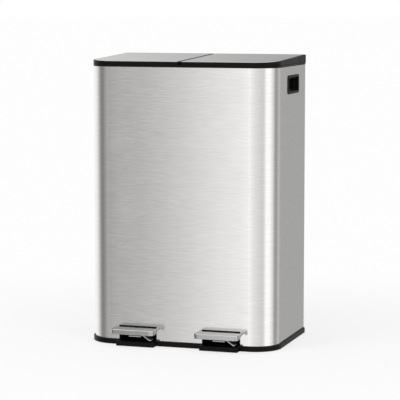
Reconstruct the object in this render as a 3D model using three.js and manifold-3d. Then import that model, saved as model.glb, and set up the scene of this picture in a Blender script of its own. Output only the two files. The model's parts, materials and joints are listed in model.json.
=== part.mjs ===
// Double pedal bin: a steel body on a black base, two lids side by side, and for each lid a pedal,
// a lever under the bucket, and a push rod behind it that lifts the lid's crank.
// Millimetres. X to the right, Y to the back, Z up. Sizes are written about the middle of the body;
// the finished group is then shifted along Y so that the origin is the middle of the whole footprint.

import * as THREE from "three";
import { mergeVertices } from "three/addons/utils/BufferGeometryUtils.js";
import Module from "manifold-3d";

const wasm = await Module();
wasm.setup();

// ---------------------------------------------------------------- driving dimensions

// Body
const bodyWidth = 444;
const bodyDepth = 271;
const cornerRadius = 59; // the two front corners
const sheet = 1; // steel sheet
const steelBottom = 13; // where the steel comes out of the base
const steelTop = 637; // where the black frame begins
const shellReturn = 13; // inward fold along each back edge
const fitGap = 0.3; // between pieces that touch
const runGap = 0.5; // between pieces that move past each other

// Base
const baseFlange = 3.5; // how far the base stands out from the steel
const baseBottom = 1; // the feet hold the base this far off the ground
const floorHeight = 3; // underside of the floor plate
const floorThickness = 3;
const collarWall = 3;
const collarHeight = 26;
const grooveFloor = 7;

// Top frame
const frameWall = 2.5;
const frameOutset = 0.8;
const seamHeight = 642; // top of the frame's outer band, where the lids begin
const skirtDepth = 15; // frame below the edge of the steel, inside the body
const shelfHeight = 626;
const shelfThickness = 3;
const dividerHalf = 10; // half width of the bar between the buckets
const dividerRib = 1.5; // half width of the rib on that bar

// Lids
const lidFrontHeight = 650;
const lidRise = 10; // how much higher the lid is at the back
const lidWall = 2.5;
const lidWeb = 2.5;
const lidGap = 3; // between the two lids
const seamGap = 0.4;
const plateThickness = 1.2;
const plateRecess = 1;
const sideBorder = 4.5; // black border round the steel plate
const frontBorder = 1.6;
const middleBorder = 3;
const rearBorder = 2;
const innerCornerRadius = 7; // front corner of a lid beside the gap
const lidOpen = 80; // degrees

// Hinge
const hingeInset = 8.5; // pin axis in front of the body's back face
const hingeHeight = 648;
const pinRadius = 2;
const pinClearance = 0.3;
const pinEnd = 1.2; // skin left outside the end of a pin
const knuckleRadius = 5.5;
const knuckleBehind = 1; // a lid knuckle's stem ends this far behind the axis
const knuckleWidth = 7;
const middleKnuckle = 9; // the one between the two lids
const earWidth = 4.2;
const earRadius = 6;
const skirtEndRadius = 10.6; // a lid's side skirt ends in a round of this radius about the pin
const earFootGap = 0.5; // the ear's foot ends this far in front of the axis
const earRoot = 8; // how far the ear's foot reaches in front of the pin axis
const gutterDepth = 37; // rear trough of the frame that holds pins, cranks and rod heads
const rearWall = 1.5; // trough's rear wall, between the knuckles and the lids' back edge
const rearWallGap = 0.6;

// Crank, rod and lever
const crankRadius = 17;
const crankRestAngle = lidOpen / 2; // below the horizontal with the lid shut
const crankNose = 3.5;
const rodRadius = 3;
const rodTipChamfer = 0.8;
const rodTopGap = 1.5; // the lid's crank rests this far above the rod
const rodSetback = 5.5; // the rod stands this far in front of the crank's nose at rest
const leverTail = 8; // lever behind the rod
const leverOffset = 31; // lever and rod, to the right of the pedal's middle
const leverWidth = 14;
const leverSheet = 2.5;
const leverTop = 18;
const leverFlange = 6;
const flangeSheet = 2;
const flangeLead = 22; // the side flanges begin this far in front of the axle
const pivotSetback = 85.5; // axle behind the body's front face
const pivotHeight = 14;
const axleRadius = 2.5;
const axleClearance = 0.2;
const pivotLobe = 6.3;
const pivotEar = 4;

// Pedals
const pedalSpacing = 199; // between the middles of the two pedals
const pedalWidth = 104;
const pedalReach = 46; // in front of the body
const pedalTop = 43;
const pedalSheet = 1.6;
const pedalLip = 11;
const pedalCorner = 10;
const pedalChamfer = 1.2; // where the top turns down into the lip
const pedalBackGap = 1.2;
const lipEndHeight = 4; // height left of the side lips at the body
const bracketWidth = 28;
const bracketShift = 8; // the bracket's middle, to the right of the pedal's
const strapInset = 7; // the strap bends down this far inside the bracket's right edge
const strapFoot = 5; // flat width at the bottom of the strap
const bracketSheet = 2;
const bracketHeight = 13; // from the pedal's underside to the bracket's underside
const strapDepth = 17.5;

// Pedal housings
const housingWidth = 90;
const housingFront = 23; // in front of the body
const housingBack = 30; // behind the body's front face
const housingWall = 2.5;
const stepHeight = 12;
const mouthTop = 45;

// Side grips
const gripLength = 97;
const gripHeight = 43;
const gripCentreY = 25;
const gripTop = 617;
const gripCorner = 7;
const gripLip = 4;
const gripProud = 1.4;
const gripDepth = 19;
const gripWall = 2;
const gripStep = 9; // depth at which the recess narrows
const gripStepWidth = 3;

// Buckets
const bucketWall = 2;
const bucketBottom = 52;
const bucketFlange = 7;
const bucketFlangeThickness = 2.5;
const bucketClearance = 1;
const bucketTaper = 9; // how far each wall comes in from rim to bottom
const bucketCorner = 24;
const bucketFrontCorner = 44;
const sideShelf = 17.2; // frame shelf between the skirt and a bucket's opening
const frontShelf = 7.5;

// Rod guides and dampers
const guideWidth = 20;
const guideSheet = 1.5;
const guideFoot = 9;
const guideBottom = 62;
const guideTop = 600;
const guideNose = 8; // from the middle of the rod to the guide's front
const damperRadius = 6;
const damperBottom = 380;
const damperLength = 95;
const plungerRadius = 2;
const plungerLink = 535;
const linkThickness = 4;

// Feet, stops and screws
const footRadius = 11;
const footInsetX = 38;
const footInsetY = 38;
const footStemRadius = 3;
const stopRadius = 3;
const stopX = 8; // from the gap between the lids
const stopPadHeight = 9;
const stopPadDepth = 7.4;
const padLap = 0.5; // how far the pad runs into the frame's wall
const screwRadius = 1.5;
const screwHeadRadius = 3.5;
const screwHeadHeight = 1.6;
const screwHeights = [60, 325, 590];

// Segments in a quarter of a corner, and round a bar
const arcSteps = 8;
const mediumArcSteps = 5;
const smallArcSteps = 3;
const roundSegments = 12;
const discSegments = 18;

// ---------------------------------------------------------------- derived places

const halfWidth = bodyWidth / 2;
const frontY = -bodyDepth / 2;
const backY = bodyDepth / 2;
const hingeY = backY - hingeInset;
const pivotY = frontY + pivotSetback;
const skirtOffset = -(sheet + fitGap);
const skirtInner = skirtOffset - frameWall;
const gutterFrontY = backY - gutterDepth - sheet - fitGap;
const noseAngle = THREE.MathUtils.degToRad(crankRestAngle);
const noseY = hingeY - crankRadius * Math.cos(noseAngle);
const noseZ = hingeHeight - crankRadius * Math.sin(noseAngle);
const rodY = noseY - rodSetback;
const noseUnderside = noseZ - Math.sqrt(crankNose ** 2 - (rodSetback - rodRadius) ** 2);
const rodTop = noseUnderside - rodTopGap;
const lidSlope = lidRise / bodyDepth;
const plateProud = fitGap + plateThickness - plateRecess; // steel plate above the black lid edge
const skirtX = halfWidth + frameOutset - lidWall; // inner face of a lid's side skirt
const earX = skirtX - runGap; // outer face of the ear that stands behind it
const pinReach = earX - pinEnd;
const stopPadFront = frontY - skirtInner - padLap;
const stopPadTop = seamHeight - padLap * 4;
// Where a side skirt's round end meets its lower edge, in front of the pin axis.
const skirtEndCut = Math.sqrt(skirtEndRadius ** 2 - (hingeHeight - seamHeight - seamGap) ** 2);
const far = 1000; // longer than anything here, for cutting

// Height of the lid's black top at a depth Y.
const lidTopAt = (y) => lidFrontHeight - plateProud + (y - frontY) * lidSlope;

// ---------------------------------------------------------------- geometry helpers

// A closed three.js geometry as a solid that can be joined and cut.
function solid(geometry) {
  const bare = geometry.clone();
  bare.deleteAttribute("normal");
  bare.deleteAttribute("uv");
  const merged = mergeVertices(bare, 1e-4);
  return new wasm.Manifold(
    new wasm.Mesh({
      numProp: 3,
      vertProperties: new Float32Array(merged.attributes.position.array),
      triVerts: new Uint32Array(merged.index.array),
    }),
  );
}

// A solid back as a three.js geometry with flat shading normals.
function geometryOf(body) {
  const made = body.getMesh();
  const geometry = new THREE.BufferGeometry();
  geometry.setAttribute("position", new THREE.BufferAttribute(new Float32Array(made.vertProperties), 3));
  geometry.setIndex(new THREE.BufferAttribute(new Uint32Array(made.triVerts), 1));
  const flat = geometry.toNonIndexed();
  flat.computeVertexNormals();
  return flat;
}

function joined(...bodies) {
  return bodies.reduce((sum, body) => sum.add(body));
}

// A block between two planes on each axis. Its corners are set exactly, so that planes meant to
// coincide do.
function box(x0, x1, y0, y1, z0, z1) {
  const geometry = new THREE.BoxGeometry();
  const places = geometry.attributes.position;
  for (let i = 0; i < places.count; i += 1) {
    places.setX(i, places.getX(i) < 0 ? x0 : x1);
    places.setY(i, places.getY(i) < 0 ? y0 : y1);
    places.setZ(i, places.getZ(i) < 0 ? z0 : z1);
  }
  return solid(geometry);
}

// A box given by its distances from the middle of the bin, on one side of it.
function sideBox(side, near, outer, y0, y1, z0, z1) {
  return side.sign > 0 ? box(near, outer, y0, y1, z0, z1) : box(-outer, -near, y0, y1, z0, z1);
}

// A shape carried along its third axis, with both end planes set exactly.
function carried(shape, from, to, curveSegments) {
  const geometry = new THREE.ExtrudeGeometry(shape, { depth: 1, bevelEnabled: false, curveSegments });
  const places = geometry.attributes.position;
  for (let i = 0; i < places.count; i += 1) {
    places.setZ(i, places.getZ(i) < 0.5 ? from : to);
  }
  return geometry;
}

// A plan outline raised from z0 to z1.
function raised(shape, z0, z1, curveSegments = arcSteps) {
  return solid(carried(shape, z0, z1, curveSegments));
}

// A side view (Y across, Z up) carried along X from x0 to x1.
function carriedX(shape, x0, x1, curveSegments = smallArcSteps) {
  const geometry = carried(shape, x0, x1, curveSegments);
  const turn = new THREE.Matrix4().makeBasis(
    new THREE.Vector3(0, 1, 0),
    new THREE.Vector3(0, 0, 1),
    new THREE.Vector3(1, 0, 0),
  );
  geometry.applyMatrix4(turn);
  return solid(geometry);
}

// A front view (X across, Z up) carried along Y from y0 to y1.
function carriedY(shape, y0, y1, curveSegments = smallArcSteps) {
  const geometry = carried(shape, -y1, -y0, curveSegments);
  geometry.rotateX(Math.PI / 2);
  return solid(geometry);
}

// A round bar along X, Y or Z: centre of its low end, then length.
function bar(axis, radius, x, y, z, length, segments = roundSegments) {
  const geometry = new THREE.CylinderGeometry(radius, radius, length, segments);
  if (axis === "x") geometry.rotateZ(-Math.PI / 2);
  if (axis === "z") geometry.rotateX(Math.PI / 2);
  const middle = new THREE.Vector3(x, y, z);
  middle[axis] += length / 2;
  geometry.translate(middle.x, middle.y, middle.z);
  return solid(geometry);
}

function polygon(points) {
  return new THREE.Shape(points.map(([a, b]) => new THREE.Vector2(a, b)));
}

// A rectangle with a radius of its own at each corner: front left, front right, back right, back left.
function roundedRectangle(x0, x1, y0, y1, radii) {
  const [fl, fr, br, bl] = radii;
  const shape = new THREE.Shape();
  shape.moveTo(x0 + fl, y0);
  shape.lineTo(x1 - fr, y0);
  if (fr > 0) shape.absarc(x1 - fr, y0 + fr, fr, -Math.PI / 2, 0);
  shape.lineTo(x1, y1 - br);
  if (br > 0) shape.absarc(x1 - br, y1 - br, br, 0, Math.PI / 2);
  shape.lineTo(x0 + bl, y1);
  if (bl > 0) shape.absarc(x0 + bl, y1 - bl, bl, Math.PI / 2, Math.PI);
  shape.lineTo(x0, y0 + fl);
  if (fl > 0) shape.absarc(x0 + fl, y0 + fl, fl, Math.PI, Math.PI * 1.5);
  return shape;
}

// The body's plan outline, moved out (or in, when negative) by an offset.
function bodyOutline(offset) {
  const front = cornerRadius + offset;
  const back = Math.max(0, offset);
  return roundedRectangle(-halfWidth - offset, halfWidth + offset, frontY - offset, backY + offset, [
    front,
    front,
    back,
    back,
  ]);
}

function ring(outer, inner, z0, z1) {
  return raised(bodyOutline(outer), z0, z1).subtract(raised(bodyOutline(inner), z0 - 1, z1 + 1));
}

// ---------------------------------------------------------------- materials

function material(color, metalness, roughness) {
  return new THREE.MeshStandardMaterial({ color, metalness, roughness });
}

const brushedSteel = () => material(0xbdbcba, 1, 0.36);
const lidSteel = () => material(0xb4b4b2, 1, 0.42);
const pedalSteel = () => material(0x9b9b9b, 1, 0.3);
const zincSteel = () => material(0xa3a6a8, 1, 0.45);
const blackPlastic = () => material(0x141414, 0, 0.42);
const bucketPlastic = () => material(0x2b2c2e, 0, 0.55);
const rubber = () => material(0x1b1b1b, 0, 0.85);

const root = new THREE.Group();

function place(name, body, finish) {
  const mesh = new THREE.Mesh(geometryOf(body), finish);
  mesh.name = name;
  root.add(mesh);
}

// The two halves of the bin. The pedals and levers are the same part on both sides.
const sides = [
  { name: "left", sign: -1 },
  { name: "right", sign: 1 },
].map((side) => {
  const pedalX = (side.sign * pedalSpacing) / 2;
  return { ...side, pedalX, rodX: pedalX + leverOffset };
});

// ---------------------------------------------------------------- steel body

// Rounded grip outline in the side wall's plane (Y across, Z up), grown by an amount.
function gripOutline(grow) {
  const half = gripLength / 2 + grow;
  const corner = Math.max(1, gripCorner + grow);
  return roundedRectangle(
    gripCentreY - half,
    gripCentreY + half,
    gripTop - gripHeight - grow,
    gripTop + grow,
    [corner, corner, corner, corner],
  );
}

function pedalMouth(side, grow, y0, y1) {
  const half = housingWidth / 2 + grow;
  return box(side.pedalX - half, side.pedalX + half, y0, y1, -far, mouthTop + grow);
}

function outerShell() {
  const bottom = grooveFloor + fitGap;
  const top = steelTop - fitGap;
  const backFace = backY - sheet - fitGap;
  const plan = raised(bodyOutline(0), bottom, top);
  const inside = raised(bodyOutline(-sheet), bottom - 1, top + 1);
  let shell = plan.subtract(inside);
  shell = shell.subtract(box(-far, far, backFace, far, -far, far));
  for (const side of sides) {
    const foldEnd = halfWidth - sheet / 2; // inside the side wall
    const foldFront = backFace - sheet;
    shell = shell.add(sideBox(side, halfWidth - shellReturn, foldEnd, foldFront, backFace, bottom, top));
    shell = shell.subtract(pedalMouth(side, fitGap, -far, 0));
    shell = shell.subtract(gripPrism(side, fitGap - gripLip, -far, far));
    for (const screw of screwPlaces(side)) {
      const hole = bar("y", screwRadius + fitGap, screw.x, backFace - 3 * sheet, screw.z, 4 * sheet);
      shell = shell.subtract(hole);
    }
  }
  return shell;
}

// The grip's outline carried through the side wall, between two depths measured inwards from the steel.
function gripPrism(side, grow, from, to) {
  const outer = halfWidth - from;
  const inner = Math.max(0, halfWidth - to);
  const outline = gripOutline(grow);
  return side.sign > 0 ? carriedX(outline, inner, outer) : carriedX(outline, -outer, -inner);
}

function screwPlaces(side) {
  return screwHeights.map((z) => ({ x: side.sign * (halfWidth - shellReturn / 2), z }));
}

function rearPanel() {
  const edge = halfWidth - fitGap;
  let panel = box(-edge, edge, backY - sheet, backY, grooveFloor + fitGap, steelTop - fitGap);
  for (const side of sides) {
    for (const screw of screwPlaces(side)) {
      const hole = bar("y", screwRadius + fitGap, screw.x, backY - 2 * sheet, screw.z, 3 * sheet);
      panel = panel.subtract(hole);
    }
  }
  return panel;
}

function rearScrew(screw) {
  const seat = backY + fitGap;
  const shankLength = 4 * sheet;
  const head = bar("y", screwHeadRadius, screw.x, seat, screw.z, screwHeadHeight);
  const shank = bar("y", screwRadius, screw.x, seat - shankLength, screw.z, shankLength + 1, 8);
  return head.add(shank);
}

// ---------------------------------------------------------------- base

function footPlaces() {
  const places = [];
  for (const side of sides) {
    const x = side.sign * (halfWidth - footInsetX);
    places.push({ name: "foot_front_" + side.name, x, y: frontY + footInsetY });
    places.push({ name: "foot_rear_" + side.name, x, y: backY - footInsetY });
  }
  return places;
}

function pivotEars(side) {
  const reach = leverWidth / 2 + runGap;
  const height = pivotHeight + pivotLobe;
  const shape = new THREE.Shape();
  shape.moveTo(pivotY - pivotLobe - 3, floorHeight);
  shape.lineTo(pivotY + pivotLobe + 3, floorHeight);
  shape.lineTo(pivotY + pivotLobe, pivotHeight);
  shape.absarc(pivotY, pivotHeight, height - pivotHeight, 0, Math.PI);
  shape.lineTo(pivotY - pivotLobe - 3, floorHeight);
  const ears = [-1, 1].map((hand) => {
    const near = side.rodX + hand * reach;
    const outer = near + hand * pivotEar;
    return carriedX(shape, Math.min(near, outer), Math.max(near, outer), mediumArcSteps);
  });
  const holeStart = side.rodX - 2 * leverWidth;
  const hole = bar("x", axleRadius + axleClearance, holeStart, pivotY, pivotHeight, 4 * leverWidth);
  return joined(...ears).subtract(hole);
}

// Low ribs that run front to back on the floor plate, clear of the levers.
function floorRibs() {
  const ribs = [];
  const ribSpacing = 37;
  const ribTop = floorHeight + floorThickness + 5;
  const ribFront = frontY + housingBack + 14;
  for (let i = -5; i <= 5; i += 1) {
    const x = i * ribSpacing;
    const clear = sides.every((side) => Math.abs(x - side.rodX) > leverWidth / 2 + pivotEar + 3);
    if (clear) ribs.push(box(x - 1, x + 1, ribFront, backY - 24, floorHeight + 1, ribTop));
  }
  return joined(...ribs);
}

function baseTray() {
  const rimTop = steelBottom;
  const floorTop = floorHeight + floorThickness;
  let tray = ring(baseFlange, fitGap, baseBottom, rimTop);
  tray = tray.add(ring(baseFlange, skirtOffset - collarWall, baseBottom, grooveFloor));
  tray = tray.add(ring(skirtOffset, skirtOffset - collarWall, baseBottom, collarHeight));
  tray = tray.add(raised(bodyOutline(skirtOffset), floorHeight, floorTop));
  tray = tray.subtract(box(-far, far, backY - 3 * sheet - 2 * fitGap, backY + fitGap, grooveFloor, far));
  tray = tray.add(floorRibs());
  for (const side of sides) {
    const half = housingWidth / 2 + fitGap;
    const x0 = side.pedalX - half;
    const x1 = side.pedalX + half;
    tray = tray.subtract(box(x0, x1, -far, frontY + housingBack + fitGap, -far, far));
    tray = tray.add(pivotEars(side));
  }
  for (const foot of footPlaces()) {
    tray = tray.subtract(bar("z", footStemRadius + fitGap, foot.x, foot.y, 0, far));
  }
  return tray;
}

function foot(placeOfFoot) {
  const padTop = floorHeight - fitGap;
  const stemTop = floorHeight + floorThickness + 1.5;
  const profile = [
    [0, 0],
    [footRadius - 1, 0],
    [footRadius, 1],
    [footRadius, padTop],
    [footStemRadius, padTop],
    [footStemRadius, stemTop],
    [0, stemTop],
  ].map(([r, z]) => new THREE.Vector2(r, z));
  const geometry = new THREE.LatheGeometry(profile, roundSegments);
  geometry.rotateX(Math.PI / 2);
  geometry.translate(placeOfFoot.x, placeOfFoot.y, 0);
  return solid(geometry);
}

// Black moulded housing: a low step in front of the body and two cheeks that line the cut-out.
function pedalHousing(side) {
  const half = housingWidth / 2;
  const front = frontY - housingFront;
  const back = frontY + housingBack;
  const liner = frontY + sheet; // the cheeks rise here, inside the steel
  const side2d = polygon([
    [front, baseBottom],
    [back, baseBottom],
    [back, mouthTop],
    [liner - sheet, mouthTop],
    [liner - sheet, stepHeight + 6],
    [liner - sheet - 4, stepHeight],
    [front + 1, stepHeight],
    [front, stepHeight - 1],
  ]);
  const outer = carriedX(side2d, side.pedalX - half, side.pedalX + half);
  const well = box(
    side.pedalX - half + housingWall,
    side.pedalX + half - housingWall,
    front + housingWall,
    far,
    -far,
    mouthTop - housingWall,
  );
  const tie = box(side.pedalX - half, side.pedalX + half, back - 8, back, baseBottom, baseBottom + 2.5);
  return outer.subtract(well).add(tie);
}

// ---------------------------------------------------------------- pedals and levers

function pedalPlate(side) {
  const x0 = side.pedalX - pedalWidth / 2;
  const x1 = side.pedalX + pedalWidth / 2;
  const front = frontY - pedalReach;
  const back = frontY - pedalBackGap;
  const bottom = pedalTop - pedalLip;
  // The plate's outline moved in by an amount, all round but at the back.
  const outline = (inset, backEdge) => {
    const corner = pedalCorner - inset;
    return roundedRectangle(x0 + inset, x1 - inset, front + inset, backEdge, [corner, corner, 0, 0]);
  };
  const shoulder = pedalTop - pedalChamfer;
  const skirt = raised(outline(0, back), bottom, shoulder, mediumArcSteps);
  const crown = raised(outline(pedalChamfer, back), shoulder - 0.01, pedalTop, mediumArcSteps);
  const hollow = raised(outline(pedalSheet, far), -far, pedalTop - pedalSheet, mediumArcSteps);
  // The side lips rise towards the body, as on a plate pressed from one sheet.
  const lipEnd = pedalTop - lipEndHeight;
  const sideCut = polygon([
    [front + pedalCorner + 4, bottom - 1],
    [back + 1, bottom - 1],
    [back + 1, lipEnd],
    [back - 6, lipEnd],
  ]);
  return skirt
    .add(crown)
    .subtract(hollow)
    .subtract(carriedX(sideCut, x0 - 1, x1 + 1));
}

// One formed steel strip: a folded bracket under the pedal plate, a strap that bends down to the
// right, and the long lever that runs back under the bucket to the push rod.
function pedalLever(side) {
  const middle = side.pedalX + bracketShift;
  const left = middle - bracketWidth / 2;
  const right = middle + bracketWidth / 2;
  const seat = pedalTop - pedalSheet - fitGap;
  const under = seat - bracketHeight;
  const front = frontY - pedalReach + pedalSheet + fitGap;
  const back = frontY - pedalBackGap;
  const strapFront = back - strapDepth;
  const bracket = carriedX(
    polygon([
      [strapFront - 8, seat],
      [back, seat],
      [back, under],
      [front, under],
      [front, under + bracketSheet],
      [back - bracketSheet, under + bracketSheet],
      [back - bracketSheet, seat - bracketSheet],
      [strapFront - 8, seat - bracketSheet],
    ].reverse()),
    left,
    right,
  );
  const leverLeft = side.rodX - leverWidth / 2;
  const leverRight = side.rodX + leverWidth / 2;
  const strapBottom = leverTop - leverSheet;
  const bend = right - strapInset;
  const strap = carriedY(
    polygon([
      [bend - 4, under],
      [bend, under],
      [leverRight - strapFoot, strapBottom],
      [leverRight, strapBottom],
      [leverRight, leverTop],
      [leverRight - strapFoot + 1, leverTop],
      [bend + 1, under + bracketSheet],
      [bend - 4, under + bracketSheet],
    ]),
    strapFront,
    back,
  );
  const rear = rodY + leverTail;
  const strip = box(leverLeft, leverRight, back - 1, rear, strapBottom, leverTop);
  const flangeShape = new THREE.Shape();
  const flangeFront = pivotY - flangeLead;
  const flangeBottom = strapBottom - leverFlange;
  flangeShape.moveTo(flangeFront, strapBottom + 0.5);
  flangeShape.lineTo(flangeFront + leverFlange, flangeBottom);
  flangeShape.lineTo(pivotY - pivotLobe, flangeBottom);
  flangeShape.absarc(pivotY, pivotHeight, pivotLobe, Math.PI, Math.PI * 2);
  flangeShape.lineTo(pivotY + pivotLobe, flangeBottom);
  flangeShape.lineTo(rear - 2 * leverFlange, flangeBottom);
  flangeShape.lineTo(rear - leverFlange, strapBottom + 0.5);
  const flanges = [
    carriedX(flangeShape, leverLeft, leverLeft + flangeSheet, mediumArcSteps),
    carriedX(flangeShape, leverRight - flangeSheet, leverRight, mediumArcSteps),
  ];
  const hole = bar("x", axleRadius + axleClearance, leverLeft - 1, pivotY, pivotHeight, leverWidth + 2);
  return joined(bracket, strap, strip, ...flanges).subtract(hole);
}

function pedalAxle(side) {
  const reach = leverWidth / 2 + runGap + pivotEar + 1.5;
  return bar("x", axleRadius, side.rodX - reach, pivotY, pivotHeight, 2 * reach);
}

// ---------------------------------------------------------------- top frame and hinge

function bucketOpening(side, grow) {
  const inner = dividerHalf - grow;
  const outer = halfWidth + skirtInner - sideShelf + grow;
  const front = frontY - skirtInner + frontShelf - grow;
  const back = gutterFrontY + grow;
  const frontOuter = bucketFrontCorner + grow;
  const small = bucketCorner + grow;
  return side.sign > 0
    ? roundedRectangle(inner, outer, front, back, [small, frontOuter, small, small])
    : roundedRectangle(-outer, -inner, front, back, [frontOuter, small, small, small]);
}

// The strip of the frame's outer edge that a lid's side skirt swings through.
function outerStrip(side, y0, y1, z0, z1) {
  return sideBox(side, earX, far, y0, y1, z0, z1);
}

// Outer ear: a disc round the pin on a foot that stands in front of the axis, so that the lid's
// back corner can swing down behind it.
function outerEar(side) {
  const near = earX - earWidth;
  const x0 = side.sign > 0 ? near : -earX;
  const disc = bar("x", earRadius, x0, hingeY, hingeHeight, earWidth, discSegments);
  const rootFront = hingeY - earRoot;
  return disc.add(sideBox(side, near, earX, rootFront, hingeY - earFootGap, shelfHeight - 1, hingeHeight));
}

// Everything below the sloped top of the lids, lowered by an amount.
function lidWedge(lower) {
  return carriedX(
    polygon([
      [-far, -far],
      [far, -far],
      [far, lidTopAt(far) - lower],
      [-far, lidTopAt(-far) - lower],
    ]),
    -far,
    far,
  );
}

// A knuckle that stands in the frame's trough, and one that hangs from a lid's web. The lid's is
// cut short behind the axis, where it would meet the trough's rear wall as the lid opens.
function frameKnuckle(x0, x1) {
  const disc = bar("x", knuckleRadius, x0, hingeY, hingeHeight, x1 - x0, discSegments);
  const stem = box(x0, x1, hingeY - knuckleRadius, hingeY + knuckleRadius, shelfHeight - 1, hingeHeight);
  return disc.add(stem);
}

function lidKnuckle(x0, x1, rootZ) {
  const disc = bar("x", knuckleRadius, x0, hingeY, hingeHeight, x1 - x0, discSegments);
  const stem = box(x0, x1, hingeY - knuckleRadius, hingeY + knuckleBehind, hingeHeight, rootZ);
  return disc.add(stem);
}

function pinHole(x0, x1) {
  return bar("x", pinRadius + pinClearance, x0, hingeY, hingeHeight, x1 - x0);
}

function topFrame() {
  const skirtBottom = steelTop - skirtDepth;
  const rearBandTop = hingeHeight - hingeInset - frameOutset - runGap; // clear of the lids' back corners
  const insideFold = backY - 2 * (sheet + fitGap); // in front of the steel's inward fold
  let frame = ring(skirtOffset, skirtInner, skirtBottom, seamHeight);
  frame = frame.add(raised(bodyOutline(skirtOffset), shelfHeight - shelfThickness, shelfHeight));
  frame = frame.subtract(box(-far, far, insideFold, far, -far, steelTop));
  frame = frame.add(ring(frameOutset, skirtInner, steelTop, seamHeight));
  let lowered = box(-far, far, backY + skirtInner, far, rearBandTop, far);
  for (const side of sides) {
    lowered = lowered.add(outerStrip(side, hingeY - earFootGap, far, rearBandTop, far));
    const pocket = bar("x", skirtEndRadius + runGap, -far / 2, hingeY, hingeHeight, far, 2 * discSegments);
    lowered = lowered.add(pocket.intersect(outerStrip(side, -far, far, steelTop, far)));
  }
  frame = frame.subtract(lowered);
  // Rear trough: a front wall, the wall behind the shelf, and one that closes the gap behind the knuckles.
  const inset = halfWidth + skirtOffset - frameWall / 2; // walls end inside the skirt
  const troughBack = gutterFrontY + frameWall;
  const rearWallFront = hingeY + knuckleRadius + rearWallGap;
  frame = frame.add(box(-inset, inset, gutterFrontY, troughBack, shelfHeight - 1, seamHeight - 1));
  frame = frame.add(box(-inset, inset, insideFold - frameWall, insideFold, skirtBottom, steelTop + 1));
  const rearHalf = earX - earWidth / 2;
  frame = frame.add(box(-rearHalf, rearHalf, rearWallFront, rearWallFront + rearWall, steelTop, hingeHeight));
  // Divider bar, with a low rib that stands in the gap between the buckets.
  const barFront = frontY + cornerRadius / 4;
  frame = frame.add(box(-dividerHalf, dividerHalf, barFront, troughBack, skirtBottom, shelfHeight));
  frame = frame.add(box(-dividerRib, dividerRib, barFront, troughBack, skirtBottom, stopPadTop));
  // A pad behind the front wall, where the lids' rubber stops land.
  const padHalf = stopX + stopRadius + 1;
  const padBack = stopPadFront + stopPadDepth;
  frame = frame.add(box(-padHalf, padHalf, stopPadFront, padBack, stopPadTop - stopPadHeight, stopPadTop));
  for (const side of sides) {
    frame = frame.subtract(raised(bucketOpening(side, 0), -far, far));
    frame = frame.add(outerEar(side));
    // Pin bracket beside the crank, and the hole the push rod comes up through.
    const bracketX = side.rodX - 2 * knuckleWidth;
    const holeBottom = shelfHeight - 3 * shelfThickness;
    frame = frame.add(frameKnuckle(bracketX, bracketX + knuckleWidth));
    frame = frame.subtract(bar("z", rodRadius + runGap, side.rodX, rodY, holeBottom, 4 * shelfThickness));
  }
  frame = frame.add(frameKnuckle(-middleKnuckle / 2, middleKnuckle / 2));
  return frame.subtract(pinHole(-pinReach, pinReach));
}

function hingePin(side) {
  const inner = 1;
  const outer = pinReach - fitGap;
  const x0 = side.sign > 0 ? inner : -outer;
  return bar("x", pinRadius, x0, hingeY, hingeHeight, outer - inner);
}

// ---------------------------------------------------------------- lids

function lidOutline(side, inset) {
  const outer = halfWidth + frameOutset - inset.side;
  const inner = lidGap / 2 + inset.middle;
  const front = frontY - frameOutset + inset.front;
  const back = backY + frameOutset - inset.back;
  const big = cornerRadius + frameOutset - Math.max(inset.side, inset.front);
  const small = Math.max(1, innerCornerRadius - inset.middle);
  return side.sign > 0
    ? roundedRectangle(inner, outer, front, back, [small, big, 0, 0])
    : roundedRectangle(-outer, -inner, front, back, [big, small, 0, 0]);
}

const noInset = { side: 0, middle: 0, front: 0, back: 0 };
const wallInset = { side: lidWall, middle: lidWall, front: lidWall, back: -far };
const plateInset = { side: sideBorder, middle: middleBorder, front: frontBorder, back: rearBorder };

function grownInset(inset, amount) {
  return {
    side: inset.side - amount,
    middle: inset.middle - amount,
    front: inset.front - amount,
    back: inset.back - amount,
  };
}

// The arm under the lid that the push rod lifts.
function crankLug(side) {
  const width = knuckleWidth + 1;
  const x0 = side.rodX - width / 2;
  const shape = new THREE.Shape();
  const along = new THREE.Vector2(noseY - hingeY, noseZ - hingeHeight).normalize();
  const across = Math.atan2(along.y, along.x);
  shape.absarc(hingeY, hingeHeight, crankNose, across + Math.PI / 2, across + Math.PI * 1.5);
  shape.absarc(noseY, noseZ, crankNose, across - Math.PI / 2, across + Math.PI / 2);
  shape.closePath();
  const arm = carriedX(shape, x0, x0 + width, mediumArcSteps);
  const boss = bar("x", knuckleRadius, x0, hingeY, hingeHeight, width, discSegments);
  const neck = polygon([
    [hingeY - knuckleRadius - 5, lidTopAt(hingeY) - lidWeb],
    [hingeY - knuckleRadius - 3, hingeHeight - 2],
    [hingeY + knuckleBehind, hingeHeight],
    [hingeY + knuckleBehind, lidTopAt(hingeY) - lidWeb],
  ]);
  return joined(arm, boss, carriedX(neck, x0, x0 + width));
}

// End of a side skirt: it hangs into the frame's pocket, round about the pin's axis.
function skirtEnd(side) {
  const outer = halfWidth + frameOutset;
  const back = backY + frameOutset;
  const from = -Math.acos((back - hingeY) / skirtEndRadius);
  const to = -Math.PI + Math.acos(skirtEndCut / skirtEndRadius);
  const shape = new THREE.Shape();
  shape.moveTo(back, hingeHeight + 1);
  shape.absarc(hingeY, hingeHeight, skirtEndRadius, from, to, true);
  shape.lineTo(hingeY - skirtEndCut, hingeHeight + 1);
  shape.closePath();
  return side.sign > 0
    ? carriedX(shape, skirtX, outer, 2 * arcSteps)
    : carriedX(shape, -outer, -skirtX, 2 * arcSteps);
}

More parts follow.
